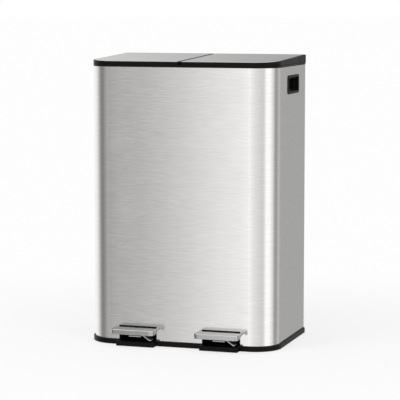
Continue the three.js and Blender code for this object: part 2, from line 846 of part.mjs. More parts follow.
function lidFrame(side) {
  const seam = seamHeight + seamGap;
  const floor = plateRecess + lidWeb; // from the black top down to the underside of the web
  let lid = raised(lidOutline(side, noInset), seam, lidFrontHeight + 2 * lidRise).intersect(lidWedge(0));
  const hollow = raised(lidOutline(side, wallInset), -far, far).intersect(lidWedge(floor));
  lid = lid.subtract(hollow);
  const recess = raised(lidOutline(side, grownInset(plateInset, fitGap)), 0, far);
  lid = lid.subtract(recess.subtract(lidWedge(plateRecess)));
  // No skirt behind the trough's front wall beside the gap, where the middle knuckle stands,
  // and a rounded end to the skirt at the outer corner, where the lid swings down.
  const clear = middleKnuckle / 2 + runGap;
  const behind = sideBox(side, 0, clear, gutterFrontY - frameWall, far, -far, far);
  lid = lid.subtract(behind.intersect(lidWedge(floor)));
  const corner = sideBox(side, skirtX, far, hingeY - skirtEndCut, far, -far, hingeHeight);
  lid = lid.subtract(corner).add(skirtEnd(side));
  const rootZ = lidTopAt(hingeY) - floor + 0.5;
  const outerX = earX - earWidth - runGap;
  for (const from of [clear, outerX - knuckleWidth]) {
    const x0 = side.sign > 0 ? from : -from - knuckleWidth;
    lid = lid.add(lidKnuckle(x0, x0 + knuckleWidth, rootZ));
  }
  lid = lid.add(crankLug(side));
  return lid.subtract(pinHole(-pinReach, pinReach));
}

function lidPlate(side) {
  const low = plateRecess - fitGap;
  const high = low - plateThickness;
  const plan = raised(lidOutline(side, plateInset), lidFrontHeight - lidRise, lidFrontHeight + 2 * lidRise);
  return plan.intersect(lidWedge(high)).subtract(lidWedge(low));
}

// A rubber stop glued under the lid at its front, which lands on the frame's pad.
function lidStop(side) {
  const y = stopPadFront + stopPadDepth / 2;
  const bottom = stopPadTop + fitGap;
  const top = lidTopAt(y - stopRadius) - plateRecess - lidWeb - fitGap;
  return bar("z", stopRadius, side.sign * stopX, y, bottom, top - bottom);
}

// ---------------------------------------------------------------- push rods, guides and dampers

function pushRod(side) {
  const bottom = leverTop + fitGap;
  const profile = [
    [0, bottom],
    [rodRadius - rodTipChamfer, bottom],
    [rodRadius, bottom + rodTipChamfer],
    [rodRadius, rodTop - rodTipChamfer],
    [rodRadius - rodTipChamfer, rodTop],
    [0, rodTop],
  ].map(([r, z]) => new THREE.Vector2(r, z));
  const geometry = new THREE.LatheGeometry(profile, roundSegments);
  geometry.rotateX(Math.PI / 2);
  geometry.translate(side.rodX, rodY, 0);
  return solid(geometry);
}

// Hat-section channel fixed to the rear panel, closed at both ends by plates that guide the rod.
function rodGuide(side) {
  const half = guideWidth / 2;
  const front = rodY - guideNose;
  const back = backY - sheet - fitGap;
  const section = polygon(
    [
      [-half - guideFoot, back],
      [-half - guideFoot, back - guideSheet],
      [-half, back - guideSheet],
      [-half, front],
      [half, front],
      [half, back - guideSheet],
      [half + guideFoot, back - guideSheet],
      [half + guideFoot, back],
      [half - guideSheet, back],
      [half - guideSheet, front + guideSheet],
      [-half + guideSheet, front + guideSheet],
      [-half + guideSheet, back],
    ].map(([x, y]) => [x + side.rodX, y]),
  );
  let guide = raised(section, guideBottom, guideTop);
  const endPlate = 3;
  for (const z of [guideBottom, guideTop - endPlate]) {
    guide = guide.add(box(side.rodX - half + 1, side.rodX + half - 1, front + 1, back, z, z + endPlate));
  }
  const holeLength = guideTop - guideBottom + 2;
  return guide.subtract(bar("z", rodRadius + runGap, side.rodX, rodY, guideBottom - 1, holeLength));
}

const damperY = backY - sheet - 2 * fitGap - damperRadius - 1;

function damperCylinder(side) {
  const body = bar("z", damperRadius, side.rodX, damperY, damperBottom, damperLength);
  const footLength = 14;
  const lug = box(
    side.rodX - 4,
    side.rodX + 4,
    damperY,
    backY - sheet - fitGap,
    damperBottom + damperLength / 2 - footLength / 2,
    damperBottom + damperLength / 2 + footLength / 2,
  );
  const boreDepth = damperLength - 12;
  const bore = bar("z", plungerRadius + fitGap, side.rodX, damperY, damperBottom + 12, boreDepth + 1);
  return body.add(lug).subtract(bore);
}

function damperPlunger(side) {
  const bottom = damperBottom + 30;
  const stem = bar("z", plungerRadius, side.rodX, damperY, bottom, plungerLink + linkThickness / 2 - bottom);
  const half = rodRadius + 2.5;
  const x0 = side.rodX - half;
  const link = box(x0, x0 + 2 * half, rodY - half, damperY + 3, plungerLink, plungerLink + linkThickness);
  const hole = bar("z", rodRadius + fitGap, side.rodX, rodY, plungerLink - 1, linkThickness + 2);
  return stem.add(link).subtract(hole);
}

// ---------------------------------------------------------------- grips and buckets

function sideGrip(side) {
  const proud = gripPrism(side, 0, -gripProud, -fitGap);
  const body = gripPrism(side, -gripLip, -fitGap - 0.1, gripDepth + gripWall);
  const mouth = gripPrism(side, -gripLip - gripWall, -far, gripStep);
  const deep = gripPrism(side, -gripLip - gripWall - gripStepWidth, -far, gripDepth);
  // A clip rib behind the steel on the upper and lower edge holds the grip in its cut-out.
  const clip = gripPrism(side, -gripLip + 1.2, sheet + fitGap, sheet + fitGap + 2);
  const edges = box(-far, far, gripCentreY - 14, gripCentreY + 14, -far, far);
  return proud.add(body).add(clip.intersect(edges)).subtract(mouth).subtract(deep);
}

// A plan outline that narrows evenly about a centre, from the rim down to the bottom.
function tapered(shape, centre, half, z0, z1) {
  const geometry = carried(shape, z0, z1, mediumArcSteps);
  const places = geometry.attributes.position;
  for (let i = 0; i < places.count; i += 1) {
    const drop = (shelfHeight - places.getZ(i)) / (shelfHeight - bucketBottom);
    const narrowX = 1 - (drop * bucketTaper) / half.x;
    const narrowY = 1 - (drop * bucketTaper) / half.y;
    places.setX(i, centre.x + (places.getX(i) - centre.x) * narrowX);
    places.setY(i, centre.y + (places.getY(i) - centre.y) * narrowY);
  }
  return solid(geometry);
}

function innerBucket(side) {
  const outer = halfWidth + skirtInner - sideShelf;
  const front = frontY - skirtInner + frontShelf;
  const centre = new THREE.Vector2((side.sign * (dividerHalf + outer)) / 2, (front + gutterFrontY) / 2);
  const half = new THREE.Vector2((outer - dividerHalf) / 2, (gutterFrontY - front) / 2);
  const seat = shelfHeight + fitGap;
  const rim = seat + bucketFlangeThickness;
  const skinShape = bucketOpening(side, -bucketClearance);
  const hollowShape = bucketOpening(side, -bucketClearance - bucketWall);
  const skin = tapered(skinShape, centre, half, bucketBottom, rim);
  const hollow = tapered(hollowShape, centre, half, bucketBottom + bucketWall, rim + 1);
  // The rim's flange lies on the frame's shelf, up to the divider's rib and the frame's wall.
  const room = dividerHalf - dividerRib - fitGap;
  const flangeShape = bucketOpening(side, Math.min(bucketFlange, room));
  const insideFrame = raised(bodyOutline(skirtInner - fitGap), seat - 1, rim + 1);
  const flange = raised(flangeShape, seat, rim, mediumArcSteps).intersect(insideFrame);
  const trough = box(-far, far, gutterFrontY - fitGap, far, seat - 1, far);
  return skin.add(flange).subtract(trough).subtract(hollow);
}

// ---------------------------------------------------------------- the assembly

place("base_tray", baseTray(), blackPlastic());
place("outer_shell", outerShell(), brushedSteel());
place("rear_panel", rearPanel(), brushedSteel());
place("top_frame", topFrame(), blackPlastic());

for (const footPlace of footPlaces()) {
  place(footPlace.name, foot(footPlace), rubber());
}

for (const side of sides) {
  place("side_grip_" + side.name, sideGrip(side), blackPlastic());
  place("pedal_housing_" + side.name, pedalHousing(side), blackPlastic());
  place("pedal_axle_" + side.name, pedalAxle(side), zincSteel());
  place("inner_bucket_" + side.name, innerBucket(side), bucketPlastic());
  place("rod_guide_" + side.name, rodGuide(side), zincSteel());
  place("damper_cylinder_" + side.name, damperCylinder(side), zincSteel());
  place("hinge_pin_" + side.name, hingePin(side), zincSteel());
  screwPlaces(side).forEach((screw, i) => {
    place("rear_screw_" + side.name + "_" + (i + 1), rearScrew(screw), zincSteel());
  });
  place("lid_frame_" + side.name, lidFrame(side), blackPlastic());
  place("lid_plate_" + side.name, lidPlate(side), lidSteel());
  place("lid_stop_" + side.name, lidStop(side), rubber());
  place("pedal_plate_" + side.name, pedalPlate(side), pedalSteel());
  place("pedal_lever_" + side.name, pedalLever(side), zincSteel());
  place("push_rod_" + side.name, pushRod(side), zincSteel());
  place("damper_plunger_" + side.name, damperPlunger(side), zincSteel());
}

// The origin is the middle of the footprint, from the pedals' front to the base's back.
const footprintFront = frontY - pedalReach;
const footprintBack = backY + baseFlange;
root.children.forEach((mesh) => mesh.geometry.translate(0, -(footprintFront + footprintBack) / 2, 0));

export default root;
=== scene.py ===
import json
from math import acos, asin, cos, degrees, radians, sin, tau

import bmesh
import bpy
import numpy as np
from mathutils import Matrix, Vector
from mathutils.geometry import tessellate_polygon


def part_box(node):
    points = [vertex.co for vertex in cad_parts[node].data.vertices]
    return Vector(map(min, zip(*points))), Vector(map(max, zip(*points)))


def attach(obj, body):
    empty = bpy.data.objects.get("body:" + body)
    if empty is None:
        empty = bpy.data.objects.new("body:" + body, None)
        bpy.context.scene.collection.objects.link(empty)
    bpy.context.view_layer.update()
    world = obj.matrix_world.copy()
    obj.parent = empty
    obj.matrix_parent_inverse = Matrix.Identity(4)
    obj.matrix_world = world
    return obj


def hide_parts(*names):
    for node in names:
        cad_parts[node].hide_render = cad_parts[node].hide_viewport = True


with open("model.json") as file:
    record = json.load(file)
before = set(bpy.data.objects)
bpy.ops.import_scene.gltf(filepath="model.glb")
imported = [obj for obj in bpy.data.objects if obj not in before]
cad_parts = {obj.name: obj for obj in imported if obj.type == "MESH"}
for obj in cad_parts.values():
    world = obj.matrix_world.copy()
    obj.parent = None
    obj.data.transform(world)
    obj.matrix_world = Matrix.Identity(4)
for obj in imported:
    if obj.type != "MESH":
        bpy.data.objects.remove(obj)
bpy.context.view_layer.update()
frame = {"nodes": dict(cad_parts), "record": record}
nodes = frame["nodes"]
scene = bpy.context.scene
scene.view_settings.view_transform = "Standard"
print("frame loaded:", len(nodes), "nodes")

mm = 0.001
bodyShift = 21.25  # millimetres that the body's middle lies behind the footprint's middle


def feed(tree, socket, value):
    # links another node's output to the socket, or sets the socket itself
    if hasattr(value, "links"):
        tree.links.new(value, socket)
    else:
        socket.default_value = value


def addNode(tree, kind, feeds, **settings):
    node = tree.nodes.new("ShaderNode" + kind)
    for key, value in settings.items():
        setattr(node, key, value)
    for key, value in feeds.items():
        feed(tree, node.inputs[key], value)
    return node


def newGroup(name, inputs, outputs):
    # an input that starts at a single number is a float, any other a vector; every output is a float
    group = bpy.data.node_groups.new(name, "ShaderNodeTree")
    for key, value in inputs.items():
        kind = "NodeSocketFloat" if isinstance(value, float) else "NodeSocketVector"
        socket = group.interface.new_socket(name=key, in_out="INPUT", socket_type=kind)
        if value is not None:
            socket.default_value = value
    for key in outputs:
        group.interface.new_socket(name=key, in_out="OUTPUT", socket_type="NodeSocketFloat")
    make = group.nodes.new
    return group, make("NodeGroupInput").outputs, make("NodeGroupOutput").inputs


def useGroup(tree, group, feeds):
    return addNode(tree, "Group", feeds, node_tree=group).outputs


def mathNode(tree, operation, a, b, clamp=False):
    return addNode(tree, "Math", {0: a, 1: b}, operation=operation, use_clamp=clamp).outputs[0]


def noise(tree, vector, scale, detail, roughness=0.5):
    feeds = {"Vector": vector, "Scale": scale, "Detail": detail, "Roughness": roughness}
    return addNode(tree, "TexNoise", feeds).outputs["Fac"]


def blendColors(tree, factor, first, second):
    first, second = (c if hasattr(c, "links") else (*c, 1.0) for c in (first, second))
    return addNode(tree, "Mix", {"Factor": factor, 6: first, 7: second}, data_type="RGBA").outputs[2]


def makeBrushing():
    # fine lines along the low factors of Stretch, with broader bands between them
    inputs = {"Vector": None, "Stretch": (4.0, 4.0, 900.0)}
    group, ins, outs = newGroup("brushing", inputs, ["Lines", "Bands"])
    along = addNode(group, "VectorMath", {0: ins["Vector"], 1: ins["Stretch"]}, operation="MULTIPLY")
    feed(group, outs["Lines"], noise(group, along.outputs[0], 1.0, 3.0, 0.7))
    feed(group, outs["Bands"], noise(group, along.outputs[0], 0.12, 2.0, 0.6))
    return group


def makeGrain():
    # small cells for a moulded surface, and a slow change over the whole piece
    group, ins, outs = newGroup("grain", {"Vector": None, "Size": 900.0}, ["Height", "Slow"])
    cells = addNode(group, "TexVoronoi", {"Vector": ins["Vector"], "Scale": ins["Size"]})
    feed(group, outs["Height"], cells.outputs["Distance"])
    feed(group, outs["Slow"], noise(group, ins["Vector"], 9.0, 3.0))
    return group


def makeDustAndPaintedLight():
    # lies on faces that look up, in loose patches: dust, and on the pedals painted light that makes their
    # tops lighter than their lips
    group, ins, outs = newGroup("dustAndPaintedLight", {"Vector": None, "Normal": None, "Amount": 0.1}, ["Mask"])
    split = addNode(group, "SeparateXYZ", {0: ins["Normal"]})
    up = mathNode(group, "MAXIMUM", split.outputs["Z"], 0.0)
    patches = mathNode(group, "MULTIPLY", up, noise(group, ins["Vector"], 35.0, 5.0, 0.7))
    feed(group, outs["Mask"], mathNode(group, "MULTIPLY", patches, ins["Amount"], True))
    return group


def makeHandling():
    # faint smears where hands and shoes touch: 0 clean to 1 smeared
    group, ins, outs = newGroup("handling", {"Vector": None, "Size": 14.0}, ["Mask"])
    feeds = {"Vector": ins["Vector"], "Scale": ins["Size"], "Detail": 4.0, "Distortion": 0.8}
    clouds = addNode(group, "TexNoise", feeds).outputs["Fac"]
    ramp = addNode(group, "MapRange", {"Value": clouds, "From Min": 0.5, "From Max": 0.75})
    feed(group, outs["Mask"], ramp.outputs["Result"])
    return group


brushingGroup = makeBrushing()
grainGroup = makeGrain()
dustAndPaintedLightGroup = makeDustAndPaintedLight()
handlingGroup = makeHandling()


def brushedLook(tree, where, finish):
    # dark and light bands mixed with finer lines; the lines also give the roughness and the height
    brushed = useGroup(tree, brushingGroup, {"Vector": where, "Stretch": finish["stretch"]})
    bands = blendColors(tree, brushed["Bands"], finish["dark"], finish["light"])
    lines = blendColors(tree, brushed["Lines"], finish["lineDark"], finish["lineLight"])
    return blendColors(tree, finish["lineShare"], bands, lines), brushed["Lines"], brushed["Lines"]


def grainedLook(tree, where, finish):
    # colour and roughness change slowly over the piece; the grain's cells give the height
    grain = useGroup(tree, grainGroup, {"Vector": where, "Size": finish["grainSize"]})
    return blendColors(tree, grain["Slow"], finish["dark"], finish["light"]), grain["Slow"], grain["Height"]


def makeMaterial(name, look, finish):
    # dust, and on the pedals painted light, covers the look's colour on faces that look up; smears add to the
    # look's roughness
    material = bpy.data.materials.new(name)
    material.use_nodes = True
    tree = material.node_tree
    place = tree.nodes.new("ShaderNodeTexCoord").outputs
    where = place["Object"]
    color, pattern, height = look(tree, where, finish)
    smear = useGroup(tree, handlingGroup, {"Vector": where, "Size": finish["smearSize"]})["Mask"]
    dustAndPaintedLightFeeds = {"Vector": where, "Normal": place["Normal"], "Amount": finish["dustAndPaintedLight"]}
    dustAndPaintedLight = useGroup(tree, dustAndPaintedLightGroup, dustAndPaintedLightFeeds)["Mask"]
    feeds = {"Value": pattern, "To Min": finish["roughLow"], "To Max": finish["roughHigh"]}
    clean = addNode(tree, "MapRange", feeds).outputs["Result"]
    feeds = {"Strength": finish["bump"], "Distance": finish["depth"], "Height": height}
    bump = addNode(tree, "Bump", feeds).outputs["Normal"]
    shader = tree.nodes["Principled BSDF"].inputs
    feed(tree, shader["Base Color"], blendColors(tree, dustAndPaintedLight, color, finish["dustAndPaintedLightColor"]))
    smeared = mathNode(tree, "MULTIPLY", smear, finish["smear"])
    feed(tree, shader["Roughness"], mathNode(tree, "ADD", clean, smeared))
    feed(tree, shader["Normal"], bump)
    feed(tree, shader["Metallic"], finish["metallic"])
    feed(tree, shader["Specular IOR Level"], finish["specular"])
    return material


bodySteelFinish = {
    "metallic": 1.0,
    "specular": 0.5,
    "stretch": (28.0, 28.0, 640.0),  # the pattern's scale in x, y, z: low along the brushing
    "dark": (0.585, 0.577, 0.567),
    "light": (0.635, 0.629, 0.621),
    "lineDark": (0.41, 0.405, 0.397),
    "lineLight": (0.81, 0.803, 0.794),
    "lineShare": 0.5,
    "roughLow": 0.07,
    "roughHigh": 0.14,
    "smear": 0.03,
    "smearSize": 6.0,
    "dustAndPaintedLight": 0.0,
    "dustAndPaintedLightColor": (0.45, 0.44, 0.42),
    "bump": 0.12,
    "depth": 0.0002,
}
lidSteelFinish = bodySteelFinish | {
    "stretch": (3.0, 900.0, 3.0),
    "dark": (0.39, 0.39, 0.386),
    "light": (0.44, 0.44, 0.435),
    "roughLow": 0.2,
    "roughHigh": 0.28,
    "dustAndPaintedLight": 0.04,
}
pedalSteelFinish = bodySteelFinish | {
    "stretch": (4.0, 700.0, 700.0),
    "dark": (0.33, 0.33, 0.33),
    "light": (0.4, 0.4, 0.4),
    "lineDark": (0.3, 0.3, 0.3),
    "lineLight": (0.45, 0.45, 0.45),
    "roughLow": 0.08,
    "roughHigh": 0.16,
    "smear": 0.08,
    "smearSize": 40.0,
    "dustAndPaintedLight": 0.9,  # on the pedals this is painted light with some wear from shoes: the tops are painted lighter than the lips
    # the pedals' colour here is painted light on their tops
    "dustAndPaintedLightColor": (0.58, 0.58, 0.58),
}
zincFinish = bodySteelFinish | {
    "stretch": (60.0, 60.0, 60.0),
    "dark": (0.33, 0.34, 0.35),
    "light": (0.45, 0.46, 0.47),
    "lineDark": (0.3, 0.3, 0.31),
    "lineLight": (0.5, 0.5, 0.5),
    "roughLow": 0.34,
    "roughHigh": 0.5,
    "dustAndPaintedLight": 0.05,
}
blackFinish = {
    "metallic": 0.0,
    "specular": 0.07,
    "grainSize": 1500.0,
    "dark": (0.0035, 0.0035, 0.0035),
    "light": (0.0065, 0.0065, 0.0065),
    "roughLow": 0.3,
    "roughHigh": 0.42,
    "smear": 0.08,
    "smearSize": 20.0,
    "dustAndPaintedLight": 0.05,
    "dustAndPaintedLightColor": (0.3, 0.29, 0.27),
    "bump": 0.15,
    "depth": 0.0001,
}
bucketFinish = blackFinish | {
    "specular": 0.4,
    "dark": (0.018, 0.019, 0.02),
    "light": (0.03, 0.031, 0.033),
    "roughLow": 0.45,
    "roughHigh": 0.6,
}
rubberFinish = blackFinish | {
    "specular": 0.3,
    "grainSize": 700.0,
    "dark": (0.008, 0.008, 0.008),
    "light": (0.014, 0.014, 0.014),
    "roughLow": 0.7,
    "roughHigh": 0.85,
}

finishes = {
    "body_steel": makeMaterial("bodySteel", brushedLook, bodySteelFinish),
    "lid_steel": makeMaterial("lidSteel", brushedLook, lidSteelFinish),
    "pedal_steel": makeMaterial("pedalSteel", brushedLook, pedalSteelFinish),
    "zinc_steel": makeMaterial("zincSteel", brushedLook, zincFinish),
    "black_plastic": makeMaterial("blackPlastic", grainedLook, blackFinish),
    "bucket_plastic": makeMaterial("bucketPlastic", grainedLook, bucketFinish),
    "rubber": makeMaterial("footRubber", grainedLook, rubberFinish),
}
slotOf = {entry["node"]: entry["material_slot"] for entry in frame["record"]["subparts"]}
bodyOf = {name: body for body, names in frame["record"]["behaviour"]["bodies"].items() for name in names}
for name, node in nodes.items():
    node.data.materials.clear()
    node.data.materials.append(finishes[slotOf[name]])
print("materials made:", len(finishes))

cameraPlan = {
    "place": (1.29447, -4.00045, 0.80068),
    "yaw": 17.761,
    "pitch": 6.438,
    "lens": 164.497,
}


def makeCamera(plan):
    lens = bpy.data.cameras.new("camera")
    lens.lens = plan["lens"]
    lens.sensor_width = 36.0
    lens.clip_end = 100.0
    camera = bpy.data.objects.new("camera", lens)
    camera.location = plan["place"]
    camera.rotation_euler = (radians(90 - plan["pitch"]), 0, radians(plan["yaw"]))
    scene.collection.objects.link(camera)
    scene.camera = camera


lampTarget = (0, 0, 0.35)
lampPlans = {
    "keyLamp": {"place": (-2.2, -2.6, 2.6), "size": (1.8, 1.8), "power": 60},
    "fillLamp": {"place": (2.8, -2.2, 1.8), "size": (1.4, 2.2), "power": 35},
}


def makeLamp(name, plan):
    # the steel does not mirror the lamps, only the studio
    lamp = bpy.data.lights.new(name, "AREA")
    lamp.shape = "RECTANGLE"
    lamp.size, lamp.size_y = plan["size"]
    lamp.energy = plan["power"]
    holder = bpy.data.objects.new(name, lamp)
    holder.location = plan["place"]
    aim = Vector(lampTarget) - Vector(plan["place"])
    holder.rotation_euler = aim.to_track_quat("-Z", "Y").to_euler()
    holder.visible_glossy = False
    scene.collection.objects.link(holder)


worldPlan = {
    "even": 0.75,  # what lights the surfaces that scatter
    # bearing from straight ahead of the bin, in degrees towards its right side, and brightness there
    "studio": [
        (-180, 0.42), (-165, 0.48), (-157, 0.95), (-125, 1.35), (-108, 1.3), (-97, 1.1), (-86, 0.75),
        (-75, 0.4), (-62, 0.34), (-50, 0.5), (-38, 0.64), (-26, 0.62), (-20.3, 0.56), (-19.3, 0.7),
        (-18.2, 0.95), (-17.2, 1.3), (-16.2, 1.58), (-6, 1.4), (12, 1.2), (46, 1.0), (54, 1.15),
        (62, 1.6), (80, 1.6), (88, 1.35), (100, 1.0), (108, 0.55), (120, 0.5), (136, 0.8),
        (150, 0.62), (168, 0.51), (180, 0.4),
    ],
    # degrees above or below the horizon where each begins and is full
    "ceiling": {"way": 1.0, "start": 32, "full": 54, "strength": 1.9},
    "ground": {"way": -1.0, "start": 17, "full": 34, "strength": 1.15},
}


def makeWorld(plan):
    # white for the camera and even for scattered light; reflections see a studio whose brightness
    # follows the compass bearing, between a lit ceiling and a pale ground
    world = bpy.data.worlds.new("studio")
    world.use_nodes = True
    scene.world = world
    tree = world.node_tree
    tree.nodes.clear()
    rays = tree.nodes.new("ShaderNodeLightPath").outputs

    def light(strength, color=(1.0, 1.0, 1.0, 1.0)):
        return addNode(tree, "Background", {"Color": color, "Strength": strength}).outputs[0]

    def choose(factor, first, second):
        return addNode(tree, "MixShader", {"Fac": factor, 1: first, 2: second}).outputs[0]

    toward = tree.nodes.new("ShaderNodeTexCoord").outputs["Generated"]
    split = addNode(tree, "SeparateXYZ", {0: toward}).outputs
    ahead = mathNode(tree, "MULTIPLY", split["Y"], -1.0)
    bearing = mathNode(tree, "ARCTAN2", split["X"], ahead)
    around = addNode(tree, "Math", {0: bearing, 1: 1 / tau, 2: 0.5}, operation="MULTIPLY_ADD").outputs[0]
    rampNode = addNode(tree, "ValToRGB", {0: around})
    ramp = rampNode.color_ramp
    ramp.interpolation = "LINEAR"
    top = max(value for _, value in plan["studio"])
    while len(ramp.elements) < len(plan["studio"]):
        ramp.elements.new(0.5)
    for element, (angle, value) in zip(ramp.elements, plan["studio"]):
        element.position = (angle + 180) / 360
        element.color = (value / top, value / top, value / top, 1.0)
    color = rampNode.outputs[0]
    for part in (plan["ceiling"], plan["ground"]):
        feeds = {
            "Value": mathNode(tree, "MULTIPLY", split["Z"], part["way"]),
            "From Min": sin(radians(part["start"])),
            "From Max": sin(radians(part["full"])),
        }
        share = addNode(tree, "MapRange", feeds, interpolation_type="SMOOTHSTEP").outputs["Result"]
        color = blendColors(tree, share, color, (part["strength"] / top,) * 3)
    seen = choose(rays["Is Glossy Ray"], light(plan["even"]), light(top, color))
    addNode(tree, "OutputWorld", {0: choose(rays["Is Camera Ray"], seen, light(1.0))})


floorPlan = {
    "radius": 60.0,
    "shade": 0.85,
    "glow": 0.985,
    "near": 0.3,  # up to here the paper's own shading shows most
    "far": 1.1,  # from here the camera sees only the glow
    "nearGlow": 0.72,
}


def directions(start, end, count):
    # (cos, sin) of an angle that runs evenly from start to end, in degrees
    turn = np.radians(np.linspace(start, end, count))
    return np.stack([np.cos(turn), np.sin(turn)], axis=1)


def makeFloor(plan):
    # a round sheet; near the object it keeps the shadow, further out it is plain white for the camera
    steps = 64
    points = np.zeros((steps, 3))
    points[:, :2] = plan["radius"] * directions(0, 360, steps + 1)[:-1] + (0, bodyShift * mm)
    mesh = bpy.data.meshes.new("floor")
    mesh.from_pydata(points.tolist(), [], [list(range(steps))])
    floor = bpy.data.objects.new("floor", mesh)
    scene.collection.objects.link(floor)
    material = bpy.data.materials.new("floorPaper")
    material.use_nodes = True
    tree = material.node_tree
    tree.nodes.clear()
    cameraRay = tree.nodes.new("ShaderNodeLightPath").outputs["Is Camera Ray"]
    place = tree.nodes.new("ShaderNodeTexCoord").outputs["Object"]
    paper = addNode(tree, "BsdfDiffuse", {"Color": (plan["shade"],) * 3 + (1.0,)}).outputs[0]
    glow = addNode(tree, "Emission", {"Strength": plan["glow"]}).outputs[0]
    feeds = {
        "Value": addNode(tree, "VectorMath", {0: place}, operation="LENGTH").outputs["Value"],
        "From Min": plan["near"],
        "From Max": plan["far"],
        "To Min": plan["nearGlow"],
        "To Max": 1.0,
    }
    share = mathNode(tree, "MULTIPLY", addNode(tree, "MapRange", feeds).outputs["Result"], cameraRay)
    mixed = addNode(tree, "MixShader", {"Fac": share, 1: paper, 2: glow}).outputs[0]
    addNode(tree, "OutputMaterial", {0: mixed})
    mesh.materials.append(material)
    floor.visible_glossy = False  # the steel mirrors the studio, not the paper


makeCamera(cameraPlan)
makeWorld(worldPlan)
makeFloor(floorPlan)
for name, plan in lampPlans.items():
    makeLamp(name, plan)
print("camera, light and floor made")

# from here on shapes are in millimetres about the middle of the body; a part is points and faces


def cornerArc(centre, radius, start, steps):
    # a quarter circle: centre plus radius times direction, and the directions
    outs = directions(start, start + 90, steps + 1)
    return np.array(centre) + radius * outs, outs


def circlePath(centre, radius, steps):
    # the same for a whole circle
    outs = directions(0, 360, steps + 1)[:-1]
    return np.array(centre) + radius * outs, outs


def roundedPath(low, high, radii, steps):
    # a rectangle's outline, anticlockwise from its front left corner, with the direction out of it;
    # each corner is an arc, or one mitred point where its radius is zero
    (x0, y0), (x1, y1) = low, high
    corners = ((-1, -1), (1, -1), (1, 1), (-1, 1))
    runs = []
    for (sx, sy), radius, start in zip(corners, radii, (180, 270, 0, 90)):
        corner = np.array([x1 if sx > 0 else x0, y1 if sy > 0 else y0], float)
        if radius > 0:
            runs.append(cornerArc(corner - radius * np.array([sx, sy]), radius, start, steps))
        else:
            runs.append((corner[None, :], np.array([[sx, sy]], float)))
    return np.concatenate([run[0] for run in runs]), np.concatenate([run[1] for run in runs])


def outlinePath(points):
    # any outline, anticlockwise; each corner's direction is the mitre of the two sides that meet there
    places = np.asarray(points, float)
    ahead = np.roll(places, -1, axis=0) - places
    ahead /= np.linalg.norm(ahead, axis=1)[:, None]
    behind = np.roll(ahead, 1, axis=0)
    first = np.stack([behind[:, 1], -behind[:, 0]], axis=1)
    second = np.stack([ahead[:, 1], -ahead[:, 0]], axis=1)
    share = np.maximum(0.3, 1 + np.sum(first * second, axis=1))  # 0.3 keeps a sharp mitre short
    return places, (first + second) / share[:, None]


def gridFaces(rows, columns, wrapRows, wrapColumns):
    # one four-sided face between each point of a grid and the next along both of its parameters
    i = np.arange(rows if wrapRows else rows - 1)
    j = np.arange(columns if wrapColumns else columns - 1)
    i, j = (a.ravel() for a in np.meshgrid(i, j, indexing="ij"))
    k, l = (i + 1) % rows, (j + 1) % columns
    return np.stack([i * columns + j, k * columns + j, k * columns + l, i * columns + l], axis=1).tolist()


def meshed(grid, closedPath, closedProfile):
    # a grid of points as a part; an open run of a closed profile gets a face at each end
    rows, columns = grid.shape[:2]
    faces = gridFaces(rows, columns, closedPath, closedProfile)
    if closedProfile and not closedPath:
        faces.append(list(range(columns)))
        faces.append([(rows - 1) * columns + j for j in reversed(range(columns))])
    return grid.reshape(-1, 3), faces


def carry(places, outs, profile, closedPath, closedProfile):
    # each point of the profile (out, up) is place plus out times direction, at height up
    profile = np.asarray(profile, float)
    flat = places[:, None, :] + outs[:, None, :] * profile[None, :, 0:1]
    up = np.broadcast_to(profile[None, :, 1:2], (*flat.shape[:2], 1))
    return meshed(np.concatenate([flat, up], axis=2), closedPath, closedProfile)


def capped(loops):
    # loops of the same number of points joined in order, the first closed below and the last above
    stack = np.stack(loops, axis=1)
    points, faces = meshed(stack, True, False)
    rows, columns = stack.shape[:2]
    faces.append([i * columns for i in reversed(range(rows))])
    faces.append([i * columns + columns - 1 for i in range(rows)])
    return points, faces


def joined(parts):
    # several parts as one: the faces of each count on from the points before it
    starts = np.cumsum([0] + [len(points) for points, _ in parts]).tolist()
    faces = [[v + start for v in face] for (_, made), start in zip(parts, starts) for face in made]
    return np.concatenate([points for points, _ in parts]), faces


def atHeight(loop, height):
    height = np.broadcast_to(np.asarray(height, float), len(loop))
    return np.column_stack([loop, height])


def roundedEdge(radius, steps):
    # a quarter round as (inset, drop) pairs, from the side up to the top
    return radius * (1 - directions(0, 90, steps + 1))


def slab(path, low, high, edge, holes=()):
    # a flat piece of any outline: its side carries a quarter round at both ends, and both faces are
    # filled round the holes
    quarter = roundedEdge(edge, 2)
    profile = [(-a, low + b) for a, b in quarter[::-1]] + [(-a, high - b) for a, b in quarter]
    walls = [carry(*path, profile, True, False)]
    for places, outs in holes:
        points, faces = carry(places, outs, [(-a, b) for a, b in profile], True, False)
        walls.append((points, [face[::-1] for face in faces]))
    points, faces = joined(walls)
    columns = len(profile)
    for column, upward in ((0, False), (columns - 1, True)):
        rings = [wall[column::columns] for wall, _ in walls]
        flat = np.concatenate(rings)
        filled = np.array(tessellate_polygon([[Vector((*q[:2], 0)) for q in ring] for ring in rings]))
        a, b, c = (flat[filled[:, n], :2] for n in range(3))
        turn = (b[:, 0] - a[:, 0]) * (c[:, 1] - a[:, 1]) - (b[:, 1] - a[:, 1]) * (c[:, 0] - a[:, 0])
        solid = np.abs(turn) > 1e-9  # triangles without area are left out
        filled = filled[solid]
        wrong = (turn[solid] > 0) != upward
        filled[wrong] = filled[wrong][:, ::-1]
        faces += (filled * columns + column).tolist()
    return points, faces


def block(low, high, edge=0.4):
    (x0, y0, z0), (x1, y1, z1) = low, high
    return slab(roundedPath((x0, y0), (x1, y1), (edge,) * 4, 2), z0, z1, edge)


def lathe(profile, centre=(0, 0), steps=24):
    # radius and height pairs turned about an upright axis, with a flat face at both ends
    middle, outs = circlePath(centre, 0.0, steps)
    return capped([atHeight(middle + radius * outs, height) for radius, height in profile])


